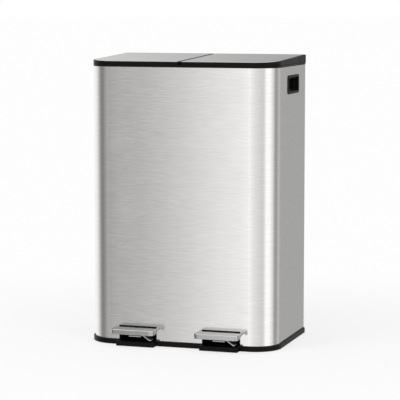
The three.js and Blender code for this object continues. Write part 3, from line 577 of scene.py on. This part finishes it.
def alongX(part):
    # a part drawn as (y, z, x), as (x, y, z)
    points, faces = part
    return points[:, [2, 0, 1]], faces


def sided(side, part):
    # a part drawn for the right half, mirrored for the left one
    if side == "right":
        return part
    points, faces = part
    return points * np.array([-1.0, 1.0, 1.0]), [face[::-1] for face in faces]


def placePiece(name, mesh, source, sharp=35, edge=0.0):
    # smooth between sharp edges, which are rounded where asked; the piece rides on its CAD node's body
    mesh.polygons.foreach_set("use_smooth", np.ones(len(mesh.polygons), bool))
    mesh.set_sharp_from_angle(angle=radians(sharp))
    piece = bpy.data.objects.new(name, mesh)
    scene.collection.objects.link(piece)
    if edge:
        bevel = piece.modifiers.new("edges", "BEVEL")
        bevel.width = edge
        bevel.segments = 2
        bevel.limit_method = "ANGLE"
        bevel.angle_limit = radians(sharp)
        bevel.use_clamp_overlap = True
    weigh = piece.modifiers.new("shading", "WEIGHTED_NORMAL")
    weigh.keep_sharp = True
    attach(piece, bodyOf[source])
    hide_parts(source)


def makePiece(name, parts, source, sharp=35):
    points, faces = joined(parts)
    mesh = bpy.data.meshes.new(name)
    mesh.from_pydata(((points + (0, bodyShift, 0)) * mm).tolist(), [], faces)
    mesh.update()
    mesh.materials.append(finishes[slotOf[source]])
    placePiece(name, mesh, source, sharp)


sides = ("left", "right")
signs = {"left": -1, "right": 1}
body = {
    "width": 444.0,
    "depth": 271.0,
    "corner": 59.0,
    "sheet": 1.0,
    "mouthHalf": 45.3,
    "mouthTop": 45.3,
    "pedalSpacing": 199.0,
    "leverOffset": 31.0,
}
halfWidth = body["width"] / 2
frontY = -body["depth"] / 2
backY = body["depth"] / 2
pedalXs = {side: signs[side] * body["pedalSpacing"] / 2 for side in sides}
leverXs = {side: x + body["leverOffset"] for side, x in pedalXs.items()}
hinge = {
    "y": 127.0,
    "z": 648.0,
    "hole": 2.3,
    "knuckle": 5.5,
    "stemBack": 1.0,
    "skirtEnd": 10.6,
    "pocket": 11.1,
    "earX": 219.8,
}
pin = np.array([hinge["y"], hinge["z"]])
axle = np.array([-50.0, 14.0])
foot = {"x": 184.0, "y": 97.5}
rodY = 108.48
gutterFront = 97.2
shelfTop = 626.0
lidOutset = 0.8
lidFront = 649.5
lidSlope = 10 / body["depth"]


def lidTop(y):
    # rises evenly from the front to the back
    return lidFront + (y - frontY) * lidSlope


def bodyPath(grow, backRadius, steps):
    # the body's outline, grown all round
    front = body["corner"] + grow
    low = (-halfWidth - grow, frontY - grow)
    high = (halfWidth + grow, backY + grow)
    return roundedPath(low, high, (front, front, backRadius, backRadius), steps)


steelSizes = {
    "low": 7.3,
    "high": 636.7,
    "fold": 13.0,
    "foldRound": 1.6,
    "panelGap": 0.3,
}
gripSizes = {
    "centreY": 25.0,
    "length": 97.0,
    "height": 43.0,
    "top": 617.0,
    "corner": 7.0,
    "proud": 1.4,
    "bezel": 6.0,
    "bezelRounds": (0.8, 1.2),
    "behind": 0.3,  # from the steel's outside to the bezel's underside
    "cup": 4.0,  # from the bezel's outline in to the cup's outside
    "cutHalf": 44.8,
    "cutLow": 577.7,
    "cutHigh": 613.3,
    "recess": 19.0,
    "step": 9.0,
    "narrow": 3.0,
}


def steelBody():
    # sheet carried round the left side, the front and the right side, with a fold along both back
    # edges: a grid of outline points by heights without the cells of the cut-outs, the same grid one
    # sheet further in, and a rim between the two along every open edge
    size, grip, corner, turn = steelSizes, gripSizes, body["corner"], steelSizes["foldRound"]
    back = backY - body["sheet"] - size["panelGap"]
    gripEdges = [grip["centreY"] - grip["cutHalf"], grip["centreY"] + grip["cutHalf"]]
    mouthEdges = sorted(x + s * body["mouthHalf"] for x in pedalXs.values() for s in (-1, 1))

    def straight(points, out):
        return np.array(points, float), np.tile(np.array(out, float), (len(points), 1))

    runs = [
        straight([(size["fold"] - halfWidth, back)], (0, 1)),
        cornerArc((turn - halfWidth, back - turn), turn, 90, 4),
        straight([(-halfWidth, y) for y in gripEdges[::-1]], (-1, 0)),
        cornerArc((corner - halfWidth, frontY + corner), corner, 180, 28),
        straight([(x, frontY) for x in mouthEdges], (0, -1)),
        cornerArc((halfWidth - corner, frontY + corner), corner, 270, 28),
        straight([(halfWidth, y) for y in gripEdges], (1, 0)),
        cornerArc((halfWidth - turn, back - turn), turn, 0, 4),
        straight([(halfWidth - size["fold"], back)], (0, 1)),
    ]
    places, outs = (np.concatenate([run[n] for run in runs]) for n in (0, 1))
    heights = np.array([size["low"], body["mouthTop"], grip["cutLow"], grip["cutHigh"], size["high"]])
    columns, rows = len(places), len(heights)
    grid = np.zeros((columns, rows, 3))
    grid[..., :2] = places[:, None, :]
    grid[..., 2] = heights[None, :]
    inner = grid - np.concatenate([outs, np.zeros((columns, 1))], axis=1)[:, None, :] * body["sheet"]
    middle = (places[1:] + places[:-1]) / 2
    onFront = np.abs(middle[:, 1] - frontY) < 0.01
    nearMouth = [np.abs(middle[:, 0] - x) < body["mouthHalf"] for x in pedalXs.values()]
    onSide = np.abs(np.abs(middle[:, 0]) - halfWidth) < 0.01
    nearGrip = np.abs(middle[:, 1] - grip["centreY"]) < grip["cutHalf"]
    keep = np.ones((columns - 1, rows - 1), bool)
    keep[onFront & np.any(nearMouth, axis=0), 0] = False
    keep[onSide & nearGrip, 2] = False
    faces = np.array(gridFaces(columns, rows, False, False))[keep.ravel()]
    count = columns * rows
    edges = np.concatenate([np.stack([faces[:, n], faces[:, (n + 1) % 4]], axis=1) for n in range(4)])
    keys = edges[:, 0] * count + edges[:, 1]
    border = edges[~np.isin(keys, edges[:, 1] * count + edges[:, 0])]  # edges with no face beyond them
    rim = np.stack([border[:, 1], border[:, 0], border[:, 0] + count, border[:, 1] + count], axis=1)
    allFaces = np.concatenate([faces, faces[:, ::-1] + count, rim])
    points = np.concatenate([grid.reshape(-1, 3), inner.reshape(-1, 3)])
    used, allFaces = np.unique(allFaces, return_inverse=True)
    return points[used], allFaces.reshape(-1, 4).tolist()


makePiece("steelBody", [steelBody()], "outer_shell", sharp=30)
print("steel body made")

baseSizes = {
    "flange": 3.5,
    "low": 1.0,
    "lowRound": 0.6,
    "top": 13.0,
    "topRound": 1.7,
    "groove": 0.3,  # from the steel's outside to the groove's outer wall
    "grooveFloor": 7.0,
    "collar": 26.0,
    "collarFront": 1.3,  # from the steel's outside inwards
    "collarBack": 4.3,
    "soft": 0.4,
    "floorInset": 2.8,
    "floorLow": 3.0,
    "floorHigh": 6.0,
    "notch": 30.3,
    "backRounds": (5.0, 3.0),  # of the band and of the floor
    "footHole": 3.3,
    "ribs": {"pitch": 37.0, "half": 1.0, "high": 11.0, "front": 44.0, "back": 24.0, "clear": 16.0},
    "ears": {"radius": 6.3, "rootHalf": 9.3, "near": 9.5, "wall": 4.0, "hole": 2.7},
}


def baseBand():
    # the groove that holds the steel, as one profile, carried along what the pedal housings leave
    size = baseSizes
    out, low, lowRound, top, soft = (size[key] for key in ("flange", "low", "lowRound", "top", "soft"))
    gap, high, near, far = size["groove"], size["collar"], -size["collarFront"], -size["collarBack"]
    profile = [(out - lowRound, low), (out, low + lowRound)]
    profile += [(out - a, top - b) for a, b in roundedEdge(size["topRound"], 4)]
    profile += [(2 * gap, top), (gap, top - gap), (gap, size["grooveFloor"]), (near, size["grooveFloor"])]
    profile += [(near, high - soft), (near - soft, high), (far + soft, high), (far, high - soft), (far, low)]
    places, outs = bodyPath(0, size["backRounds"][0], 24)
    start = len(places) // 4  # the first point after the front left corner
    mouth = body["mouthHalf"]
    ends = (pedalXs["right"] + mouth, pedalXs["left"] - mouth)
    rest = np.concatenate([[(ends[0], frontY)], np.roll(places, -start, axis=0), [(ends[1], frontY)]])
    restOuts = np.concatenate([[(0, -1)], np.roll(outs, -start, axis=0), [(0, -1)]])
    middle = np.array([(pedalXs["left"] + mouth, frontY), (pedalXs["right"] - mouth, frontY)])
    middleOuts = np.array([(0.0, -1.0), (0.0, -1.0)])
    paths = (rest, restOuts), (middle, middleOuts)
    return [carry(*path, profile, False, True) for path in paths]


def baseFloor():
    # floor plate with a notch for each pedal housing, ribs, and two ears for each axle
    size, rib, ear = baseSizes, baseSizes["ribs"], baseSizes["ears"]
    steps = 10
    places, _ = bodyPath(-size["floorInset"], size["backRounds"][1], steps)
    front, back = frontY + size["floorInset"], frontY + size["notch"]
    notches = []
    for x in pedalXs.values():
        x0, x1 = x - body["mouthHalf"], x + body["mouthHalf"]
        notches += [(x0, front), (x0, back), (x1, back), (x1, front)]
    outline = np.concatenate([places[: steps + 1], notches, places[steps + 1 :]])
    signPairs = [(sx, sy) for sx in (-1, 1) for sy in (-1, 1)]
    feet = [circlePath((sx * foot["x"], sy * foot["y"]), size["footHole"], 12) for sx, sy in signPairs]
    parts = [slab(outlinePath(outline), size["floorLow"], size["floorHigh"], 0.3, feet)]
    root = size["floorHigh"] - 1
    for x in rib["pitch"] * np.arange(-5, 6):
        if all(abs(x - lever) > rib["clear"] for lever in leverXs.values()):
            low = (x - rib["half"], frontY + rib["front"], root)
            parts.append(block(low, (x + rib["half"], backY - rib["back"], rib["high"]), 0.5))
    feetOfEar = [axle * (1, 0) + (s * ear["rootHalf"], root) for s in (-1, 1)]
    shape = outlinePath(np.concatenate([feetOfEar, axle + ear["radius"] * directions(0, 180, 17)]))
    for lever in leverXs.values():
        for hand in (-1, 1):
            low, high = sorted(lever + hand * (ear["near"] + a) for a in (0, ear["wall"]))
            parts.append(alongX(slab(shape, low, high, 0.5, [circlePath(axle, ear["hole"], 20)])))
    return parts


makePiece("baseMoulding", baseBand() + baseFloor(), "base_tray")

frameSizes = {
    "wall": 2.5,
    "collarFront": 1.3,  # from the steel's outside inwards
    "collarBack": 3.8,
    "skirtLow": 622.0,
    "bandLow": 637.0,
    "bandHigh": 642.0,
    "lowRound": 0.4,
    "highRound": 0.5,
    "soft": 0.3,
    "rearTop": 638.2,
    "rearWall": 132.9,
    "shelf": 3.0,
    "rodHole": 3.5,
    "boss": 7.0,
    "ear": {"radius": 6.0, "thick": 4.2, "root": 625.5, "front": 119.0, "top": 645.0, "rear": 126.5},
}
frameBoxes = {
    "troughFront": {"half": 218.5, "y": (gutterFront, gutterFront + 2.5), "z": (625.0, 641.0)},
    "troughRear": {"half": 218.5, "y": (130.4, 132.9), "z": (622.0, 638.0)},
    "rearScreen": {"half": 217.7, "y": (133.1, 134.6), "z": (637.0, 648.0)},
    "barFoot": {"half": 9.9, "y": (-120.7, 99.0), "z": (622.1, 625.8)},
    "bar": {"half": 1.5, "y": (-120.7, 99.0), "z": (622.0, 640.0)},
    "stopPad": {"half": 12.0, "y": (-132.2, -124.8), "z": (631.0, 640.0)},
}
openingSizes = {
    "inner": 10.0,
    "outer": 201.0,
    "front": -124.2,
    "corner": 44.0,
    "smallCorner": 24.0,
}


def knuckle(x0, x1, rootZ, back):
    # a round boss about the pin with a stem to what carries it, below the pin or above it
    start = 0 if rootZ < hinge["z"] else 180
    arc = pin + hinge["knuckle"] * directions(start, start + 180, 19)
    front, rear = hinge["y"] - hinge["knuckle"], hinge["y"] + back
    if start == 0:
        stem = [(front, rootZ), (rear, rootZ)]
    else:
        shoulder = (hinge["y"] + hinge["knuckle"], hinge["z"] + 0.2)
        stem = [shoulder, (rear, hinge["z"] + 1), (rear, rootZ), (front, rootZ)]
    shape = outlinePath(np.concatenate([arc, stem]))
    return alongX(slab(shape, x0, x1, 0.3, [circlePath(pin, hinge["hole"], 20)]))


def bucketPath(side, grow, back=None):
    # the shelf's opening for a bucket, grown all round, or by another amount at the back
    size = openingSizes
    inner, outer = size["inner"] - grow, size["outer"] + grow
    front, rear = size["front"] - grow, gutterFront + (grow if back is None else back)
    big, small = size["corner"] + grow, size["smallCorner"] + grow
    if side == "right":
        return roundedPath((inner, front), (outer, rear), (small, big, small, small), 10)
    return roundedPath((-outer, front), (-inner, rear), (big, small, small, small), 10)


def frameBand():
    # the visible band and the collar inside the steel, as one profile round the front and the sides
    size, out = frameSizes, lidOutset
    low, high, skirt = size["bandLow"], size["bandHigh"], size["skirtLow"]
    near, far = -size["collarFront"], -size["collarBack"]
    lowRound, highRound, soft = size["lowRound"], size["highRound"], size["soft"]
    bulge = 0.3 * highRound
    profile = [(out - lowRound, low), (out, low + lowRound), (out, high - highRound)]
    profile += [(out - bulge, high - bulge), (out - highRound, high), (far + soft, high)]
    profile += [(far, high - soft), (far, skirt + soft), (far + soft, skirt)]
    profile += [(near - soft, skirt), (near, skirt + soft), (near, low)]
    places, outs = bodyPath(0, 0, 24)
    end = hinge["y"] - 0.5
    # the path's points from the front left corner to the front right one, between two ends by the pin
    path = np.concatenate([[(-halfWidth, end)], places[:-2], [(halfWidth, end)]])
    pathOuts = np.concatenate([[(-1, 0)], outs[:-2], [(1, 0)]])
    band, faces = carry(path, pathOuts, profile, False, True)
    # both ends are cut round about the pin: y is the pin's less root(radius^2 - (z - pin height)^2)
    for points in (band[: len(profile)], band[-len(profile) :]):
        above = points[:, 2] >= low
        rise = np.maximum(points[above, 2], low + 0.05) - hinge["z"]
        points[above, 1] = hinge["y"] - np.sqrt(hinge["pocket"] ** 2 - rise**2)
    return band, faces


def rimMoulding():
    # band, rear strip and corners, the shelf the buckets hang in, walls, knuckles and ears
    size, ear = frameSizes, frameSizes["ear"]
    low, high, rear, edge = size["bandLow"], size["bandHigh"], size["rearTop"], halfWidth + lidOutset
    inside = backY - size["collarBack"]
    parts = [frameBand(), block((-edge, inside, low), (edge, backY + lidOutset, rear))]
    inner = halfWidth - size["wall"]
    radius = body["corner"] - size["wall"]
    corners = (-inner, frontY + size["wall"]), (inner, size["rearWall"])
    outline = roundedPath(*corners, (radius, radius, 0, 0), 14)
    holes = [bucketPath(side, 0) for side in sides]
    holes += [circlePath((x, rodY), size["rodHole"], 16) for x in leverXs.values()]
    parts.append(slab(outline, shelfTop - size["shelf"], shelfTop, 0.4, holes))
    for box in frameBoxes.values():
        (y0, y1), (z0, z1) = box["y"], box["z"]
        parts.append(block((-box["half"], y0, z0), (box["half"], y1, z1)))
    disc = pin + ear["radius"] * directions(-90, 180, 25)
    lug = [(ear["front"], ear["top"]), (ear["front"], ear["root"]), (ear["rear"], ear["root"])]
    shape = outlinePath(np.concatenate([disc, lug]))
    boss = size["boss"]
    for side in sides:
        corner = block((hinge["earX"], hinge["y"] + 2, low), (edge, inside + 0.2, rear))
        web = (halfWidth - size["collarBack"], hinge["y"] - 10, ear["root"]), (hinge["earX"], inside, high)
        made = alongX(slab(shape, hinge["earX"] - ear["thick"], hinge["earX"], 0.5))
        parts += [sided(side, part) for part in (corner, block(*web), made)]
        x = leverXs[side] - 2 * boss
        parts.append(knuckle(x, x + boss, shelfTop - 1, hinge["knuckle"]))
    parts.append(knuckle(-4.5, 4.5, shelfTop - 1, hinge["knuckle"]))
    return parts


makePiece("rimMoulding", rimMoulding(), "top_frame")
print("base and frame made")

lidSizes = {
    "seam": 642.4,
    "gap": 3.0,
    "wall": 2.5,
    "web": 3.5,
    "topRound": 1.1,
    "lowRound": 0.25,
    "corner": 7.0,
    "border": {"side": 4.5, "middle": 3.0, "front": 1.6, "back": 2.0},
    "recess": 1.0,
    "recessGap": 0.3,
    "plateLow": -0.7,
    "plateHigh": 0.5,
    "plateEdge": 0.35,
    "knuckleXs": (5.0, 208.1),
}
crankSizes = {
    "reach": 17.0,
    "drop": 40.0,
    "nose": 3.5,
    "noseArc": (130, 310),
    "bossArc": (-65, 5),
    "neckFront": 10.5,
    "neckBack": 1.0,
    "width": 8.0,
}


def lidPath(side, inset):
    # inset is one number, or one for each side of the lid
    if not isinstance(inset, dict):
        inset = {key: inset for key in ("side", "middle", "front", "back")}
    outer = halfWidth + lidOutset - inset["side"]
    inner = lidSizes["gap"] / 2 + inset["middle"]
    front, back = frontY - lidOutset + inset["front"], backY + lidOutset - inset["back"]
    big = body["corner"] + lidOutset - max(inset["side"], inset["front"])
    small = max(1.0, lidSizes["corner"] - inset["middle"])
    if side == "right":
        return roundedPath((inner, front), (outer, back), (small, big, 0, 0), 18)
    return roundedPath((-outer, front), (-inner, back), (big, small, 0, 0), 18)


def sloped(loop, drop):
    # a loop laid under the lids' sloping top
    return atHeight(loop, lidTop(loop[:, 1]) - drop)


def lidSkirt():
    # the right lid's skirt round its middle, front and outer sides; the outer end hangs down in a
    # round about the pin: z is the pin's less root(radius^2 - (y - pin)^2)
    size, reach, outer = lidSizes, hinge["skirtEnd"], halfWidth + lidOutset
    places, outs = lidPath("right", 0)
    places, outs = places[:-2], outs[:-2]  # without the two back corners
    start = degrees(asin((hinge["z"] - size["seam"]) / reach)) - 180
    end = -degrees(acos((backY + lidOutset - hinge["y"]) / reach))
    ys = hinge["y"] + reach * directions(start, end, 19)[:, 0]
    first = (size["gap"] / 2, gutterFront - size["wall"])
    places = np.concatenate([[first], places, [(outer, y) for y in ys]])
    outs = np.concatenate([[(-1, 0)], outs, [(1, 0)] * len(ys)])
    low = np.full(len(places), size["seam"])
    low[-len(ys) :] = hinge["z"] - np.sqrt(reach**2 - (ys - hinge["y"]) ** 2)
    high = lidTop(places[:, 1]) - size["web"]
    wall, edge = size["wall"], size["lowRound"]
    rings = [(wall, low), (edge, low), (0, low + edge), (0, high), (wall, high)]
    return meshed(np.stack([atHeight(places - outs * a, z) for a, z in rings], axis=1), False, True)


def lidCrank(side, root):
    # boss about the pin, a neck up to the lid, and the arm whose round nose the push rod lifts
    size = crankSizes
    x = leverXs[side] - size["width"] / 2
    drop = radians(size["drop"])
    nose = pin - size["reach"] * np.array([cos(drop), sin(drop)])
    tip = nose + size["nose"] * directions(*size["noseArc"], 13)
    boss = pin + hinge["knuckle"] * directions(*size["bossArc"], 9)
    front, back = hinge["y"] - size["neckFront"], hinge["y"] + size["neckBack"]
    neck = [(back, hinge["z"] + 5.4), (back, root), (front, root), (front + 2, hinge["z"] - 2)]
    shape = outlinePath(np.concatenate([tip, boss, neck]))
    return alongX(slab(shape, x, x + size["width"], 0.4, [circlePath(pin, hinge["hole"], 20)]))


def lidShell(side):
    # a top plate whose edge is rounded over to a recess, the skirt, two knuckles and the crank
    size = lidSizes
    border = {key: value - size["recessGap"] for key, value in size["border"].items()}
    rows = [sloped(lidPath(side, 0)[0], size["web"])]
    rows += [sloped(lidPath(side, a)[0], b) for a, b in roundedEdge(size["topRound"], 4)]
    rows += [sloped(lidPath(side, border)[0], drop) for drop in (0.0, size["recess"])]
    root = lidTop(hinge["y"]) - size["web"] + 0.3
    knuckles = [knuckle(x, x + frameSizes["boss"], root, hinge["stemBack"]) for x in size["knuckleXs"]]
    return [capped(rows)] + [sided(side, part) for part in (lidSkirt(), *knuckles)] + [lidCrank(side, root)]


def lidSteel(side):
    # plate with a small bright edge, lying in the lid's recess
    size = lidSizes
    edge = {key: value + size["plateEdge"] for key, value in size["border"].items()}
    flat = lidPath(side, size["border"])[0]
    high = size["plateHigh"]
    rows = [sloped(flat, -z) for z in (size["plateLow"], high - size["plateEdge"])]
    return [capped(rows + [sloped(lidPath(side, edge)[0], -high)])]


for side in sides:
    makePiece("lidShell_" + side, lidShell(side), "lid_frame_" + side)
    makePiece("lidSteel_" + side, lidSteel(side), "lid_plate_" + side, sharp=25)
print("lids made")

pedalSizes = {
    "width": 104.0,
    "reach": 46.0,
    "top": 43.0,
    "sheet": 1.6,
    "lip": 11.0,
    "corner": 10.0,
    "fold": 2.0,
    "back": 1.2,
    "lipEnd": 4.0,
    "lipEdge": 0.3,
    "riseFront": 4.0,  # behind the corner's round
    "riseBack": 6.0,  # in front of the back edge
}


def pedalPressing(side):
    # the plate's top with a rounded fold, and a lip on three sides that rises evenly towards the back
    size, sheet, edge = pedalSizes, pedalSizes["sheet"], pedalSizes["lipEdge"]
    front, back = frontY - size["reach"], frontY - size["back"]
    x0, x1 = pedalXs[side] - size["width"] / 2, pedalXs[side] + size["width"] / 2
    places, outs = roundedPath((x0, front), (x1, back), (size["corner"], size["corner"], 0, 0), 10)
    fold = size["top"] - size["fold"]
    rows = [atHeight(places - outs * sheet, fold)]
    rows += [atHeight(places - outs * a, size["top"] - b) for a, b in roundedEdge(size["fold"], 5)]
    start, end = front + size["corner"] + size["riseFront"], back - size["riseBack"]
    ys = np.append(np.linspace(start, end, 5), back)
    path = np.concatenate([[(x0, y) for y in ys[::-1]], places[:-2], [(x1, y) for y in ys]])
    pathOuts = np.concatenate([[(-1, 0)] * 6, outs[:-2], [(1, 0)] * 6])
    rise = np.clip((path[:, 1] - start) / (end - start), 0, 1) * (size["lip"] - size["lipEnd"])
    low = size["top"] - size["lip"] + rise
    rings = [(sheet, fold), (sheet, low + edge), (sheet - edge, low), (edge, low), (0, low + edge), (0, fold)]
    grid = np.stack([atHeight(path - pathOuts * a, z) for a, z in rings], axis=1)
    return [capped(rows), meshed(grid, False, True)]


for side in sides:
    makePiece("pedalPressing_" + side, pedalPressing(side), "pedal_plate_" + side)
print("pedals made")


def gripMoulding():
    # bezel over the edge of the cut-out, then a recess that narrows once; drawn looking out of the right side
    size = gripSizes
    low = np.array([size["centreY"] - size["length"] / 2, size["top"] - size["height"]])
    high = low + (size["length"], size["height"])
    proud, bezel, step, deep = size["proud"], size["bezel"], size["step"], size["recess"]
    throat = bezel + size["narrow"]
    outerRound, innerRound = size["bezelRounds"]
    rows = [(size["cup"], -deep - 2), (size["cup"], size["behind"]), (0.0, size["behind"])]
    rows += [(a, proud - b) for a, b in roundedEdge(outerRound, 4)]
    rows += [(bezel - a, proud - b) for a, b in roundedEdge(innerRound, 4)[::-1]]
    rows += [(bezel, 0.6 - step), (bezel + 0.3, -step), (throat - 0.3, -step), (throat, -step - 0.3)]
    rows += [(throat, 1 - deep), (throat + 1, -deep)]
    loops = []
    for inset, height in rows:
        radius = max(1.0, size["corner"] - inset)
        loop, _ = roundedPath(low + inset, high - inset, (radius,) * 4, 8)
        loops.append(atHeight(loop, halfWidth + height))
    return alongX(capped(loops))


for side in sides:
    makePiece("gripMoulding_" + side, [sided(side, gripMoulding())], "side_grip_" + side)

bucketSizes = {
    "low": 52.0,
    "bottomRound": 5.0,
    "middle": 340.0,
    "seat": 626.3,
    "rim": 628.8,
    "rimRound": 1.2,
    "wall": 2.0,
    "taper": 9.0,
    "clear": 1.0,
    "flange": 7.0,
}


def bucketMoulding(side):
    # walls that lean out evenly to a rolled rim, with a rounded bottom edge inside and outside
    size = bucketSizes
    low, seat, rim, flange, outer = (size[key] for key in ("low", "seat", "rim", "flange", "clear"))
    inner = outer + size["wall"]
    bottom = roundedEdge(size["bottomRound"], 5)

    def wallLoop(inset, height):
        drop = (shelfTop - height) / (shelfTop - low)
        return atHeight(bucketPath(side, -inset - drop * size["taper"])[0], height)

    rows = [wallLoop(outer + a, low + b) for a, b in bottom[::-1]]
    rows += [wallLoop(outer, z) for z in (low + 8, size["middle"], seat - 0.1)]
    for grow, z in ((flange - 0.4, seat), (flange, seat + 0.4), (flange, rim - 0.8), (flange - 0.8, rim)):
        rows.append(atHeight(bucketPath(side, grow, back=-0.3)[0], z))
    rows += [wallLoop(inner - b, rim - a) for a, b in roundedEdge(size["rimRound"], 3)]
    rows += [wallLoop(inner, z) for z in (rim - 3, size["middle"], low + 10)]
    rows += [wallLoop(inner + a, low + size["wall"] + b) for a, b in bottom]
    return [capped(rows)]


for side in sides:
    makePiece("bucketMoulding_" + side, bucketMoulding(side), "inner_bucket_" + side)
print("grips and buckets made")

# outlines of the turned pieces, as radius and height
turned = {
    "screw": [
        (1.5, -3.6), (1.5, 0.3), (3.4, 0.3), (3.5, 0.5), (3.45, 1.0),
        (3.1, 1.5), (2.2, 1.85), (1.2, 1.9), (1.1, 1.6), (0.7, 1.0),
    ],
    "foot": [
        (8.5, 0.0), (10.2, 0.3), (11.0, 1.1), (11.0, 2.2),
        (10.6, 2.7), (3.0, 2.7), (3.0, 7.2), (2.7, 7.5),
    ],
    "rod": [(2.2, 18.3), (3.0, 19.1), (3.0, 632.3), (2.6, 632.9), (1.8, 633.1)],
    "damper": [
        (5.0, 380.0), (6.0, 381.0), (6.0, 466.0), (5.4, 467.0), (5.4, 468.5),
        (6.0, 469.5), (6.0, 474.0), (5.0, 475.0), (2.3, 475.0), (2.3, 392.0),
    ],
}
screwSizes = {"inset": 6.5, "heights": (60, 325, 590), "cross": 1.25, "crossDepth": 0.55}
damperSizes = {"inset": 8.6, "lugHalf": 4.0, "lugBack": 1.3, "lugZ": (420.5, 434.5)}
pinSizes = {"radius": 2.0, "start": 1.0, "end": 218.3}
axleSizes = {"radius": 2.5, "half": 15.0}


def screwHead(x, z):
    # pan head pointing back; the radius of its inner rings changes with cos(4 angle) into a cross recess
    points, faces = lathe(turned["screw"], steps=28)
    turn = np.arctan2(points[:, 1], points[:, 0])
    inCross = (points[:, 2] > 0.9) & (np.hypot(points[:, 0], points[:, 1]) < screwSizes["cross"])
    points[inCross, :2] *= (1 + screwSizes["crossDepth"] * np.cos(4 * turn))[inCross, None]
    return np.stack([points[:, 0] + x, points[:, 2] + backY, z - points[:, 1]], axis=1), faces


def roundBar(radius, start, end, centre):
    # a bar across the body with small chamfers, about a centre given as y and z
    soft = 0.4
    profile = [(radius - soft, start), (radius, start + soft), (radius, end - soft), (radius - soft, end)]
    return alongX(lathe(profile, centre))


def damperBody(x):
    size = damperSizes
    y = backY - size["inset"]
    z0, z1 = size["lugZ"]
    lug = block((x - size["lugHalf"], y, z0), (x + size["lugHalf"], backY - size["lugBack"], z1), 0.5)
    return [lathe(turned["damper"], (x, y)), lug]


def lidBuffer(side):
    # stands where the CAD stop stands, with a small chamfer at both ends
    low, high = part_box("lid_stop_" + side)
    x, y = ((low + high) / 2 / mm)[:2]
    z0, z1 = low[2] / mm, high[2] / mm
    return lathe([(2.6, z0), (3.0, z0 + 0.4), (3.0, z1 - 0.2), (2.8, z1)], (x, y - bodyShift))


for side in sides:
    x = leverXs[side]
    for index, z in enumerate(screwSizes["heights"]):
        name = side + "_" + str(index + 1)
        screw = screwHead(signs[side] * (halfWidth - screwSizes["inset"]), z)
        makePiece("panelScrew_" + name, [screw], "rear_screw_" + name)
    for end, y in (("front", -foot["y"]), ("rear", foot["y"])):
        pad = lathe(turned["foot"], (signs[side] * foot["x"], y), 32)
        makePiece("footPad_" + end + "_" + side, [pad], "foot_" + end + "_" + side)
    makePiece("rodSmooth_" + side, [lathe(turned["rod"], (x, rodY))], "push_rod_" + side)
    makePiece("damperBody_" + side, damperBody(x), "damper_cylinder_" + side)
    rod = roundBar(pinSizes["radius"], pinSizes["start"], pinSizes["end"], pin)
    makePiece("hingeRod_" + side, [sided(side, rod)], "hinge_pin_" + side)
    rod = roundBar(axleSizes["radius"], x - axleSizes["half"], x + axleSizes["half"], axle)
    makePiece("axleRod_" + side, [rod], "pedal_axle_" + side)
    makePiece("lidBuffer_" + side, [lidBuffer(side)], "lid_stop_" + side)
print("small pieces made")

softEdges = {"pedal_housing": 0.0006, "pedal_lever": 0.0003, "rod_guide": 0.0002, "damper_plunger": 0.0002}


def softened(name, source, edge):
    # a merged copy of a CAD node with small rounded edges
    mesh = nodes[source].data.copy()
    work = bmesh.new()
    work.from_mesh(mesh)
    bmesh.ops.remove_doubles(work, verts=work.verts, dist=2e-6)
    bmesh.ops.dissolve_limit(work, angle_limit=radians(0.5), verts=work.verts, edges=work.edges)
    work.to_mesh(mesh)
    work.free()
    placePiece(name, mesh, source, edge=edge)


for side in sides:
    for kind, edge in softEdges.items():
        softened(kind + "Soft_" + side, kind + "_" + side, edge)
softened("panelSoft", "rear_panel", 0.0002)
print("soft copies made")
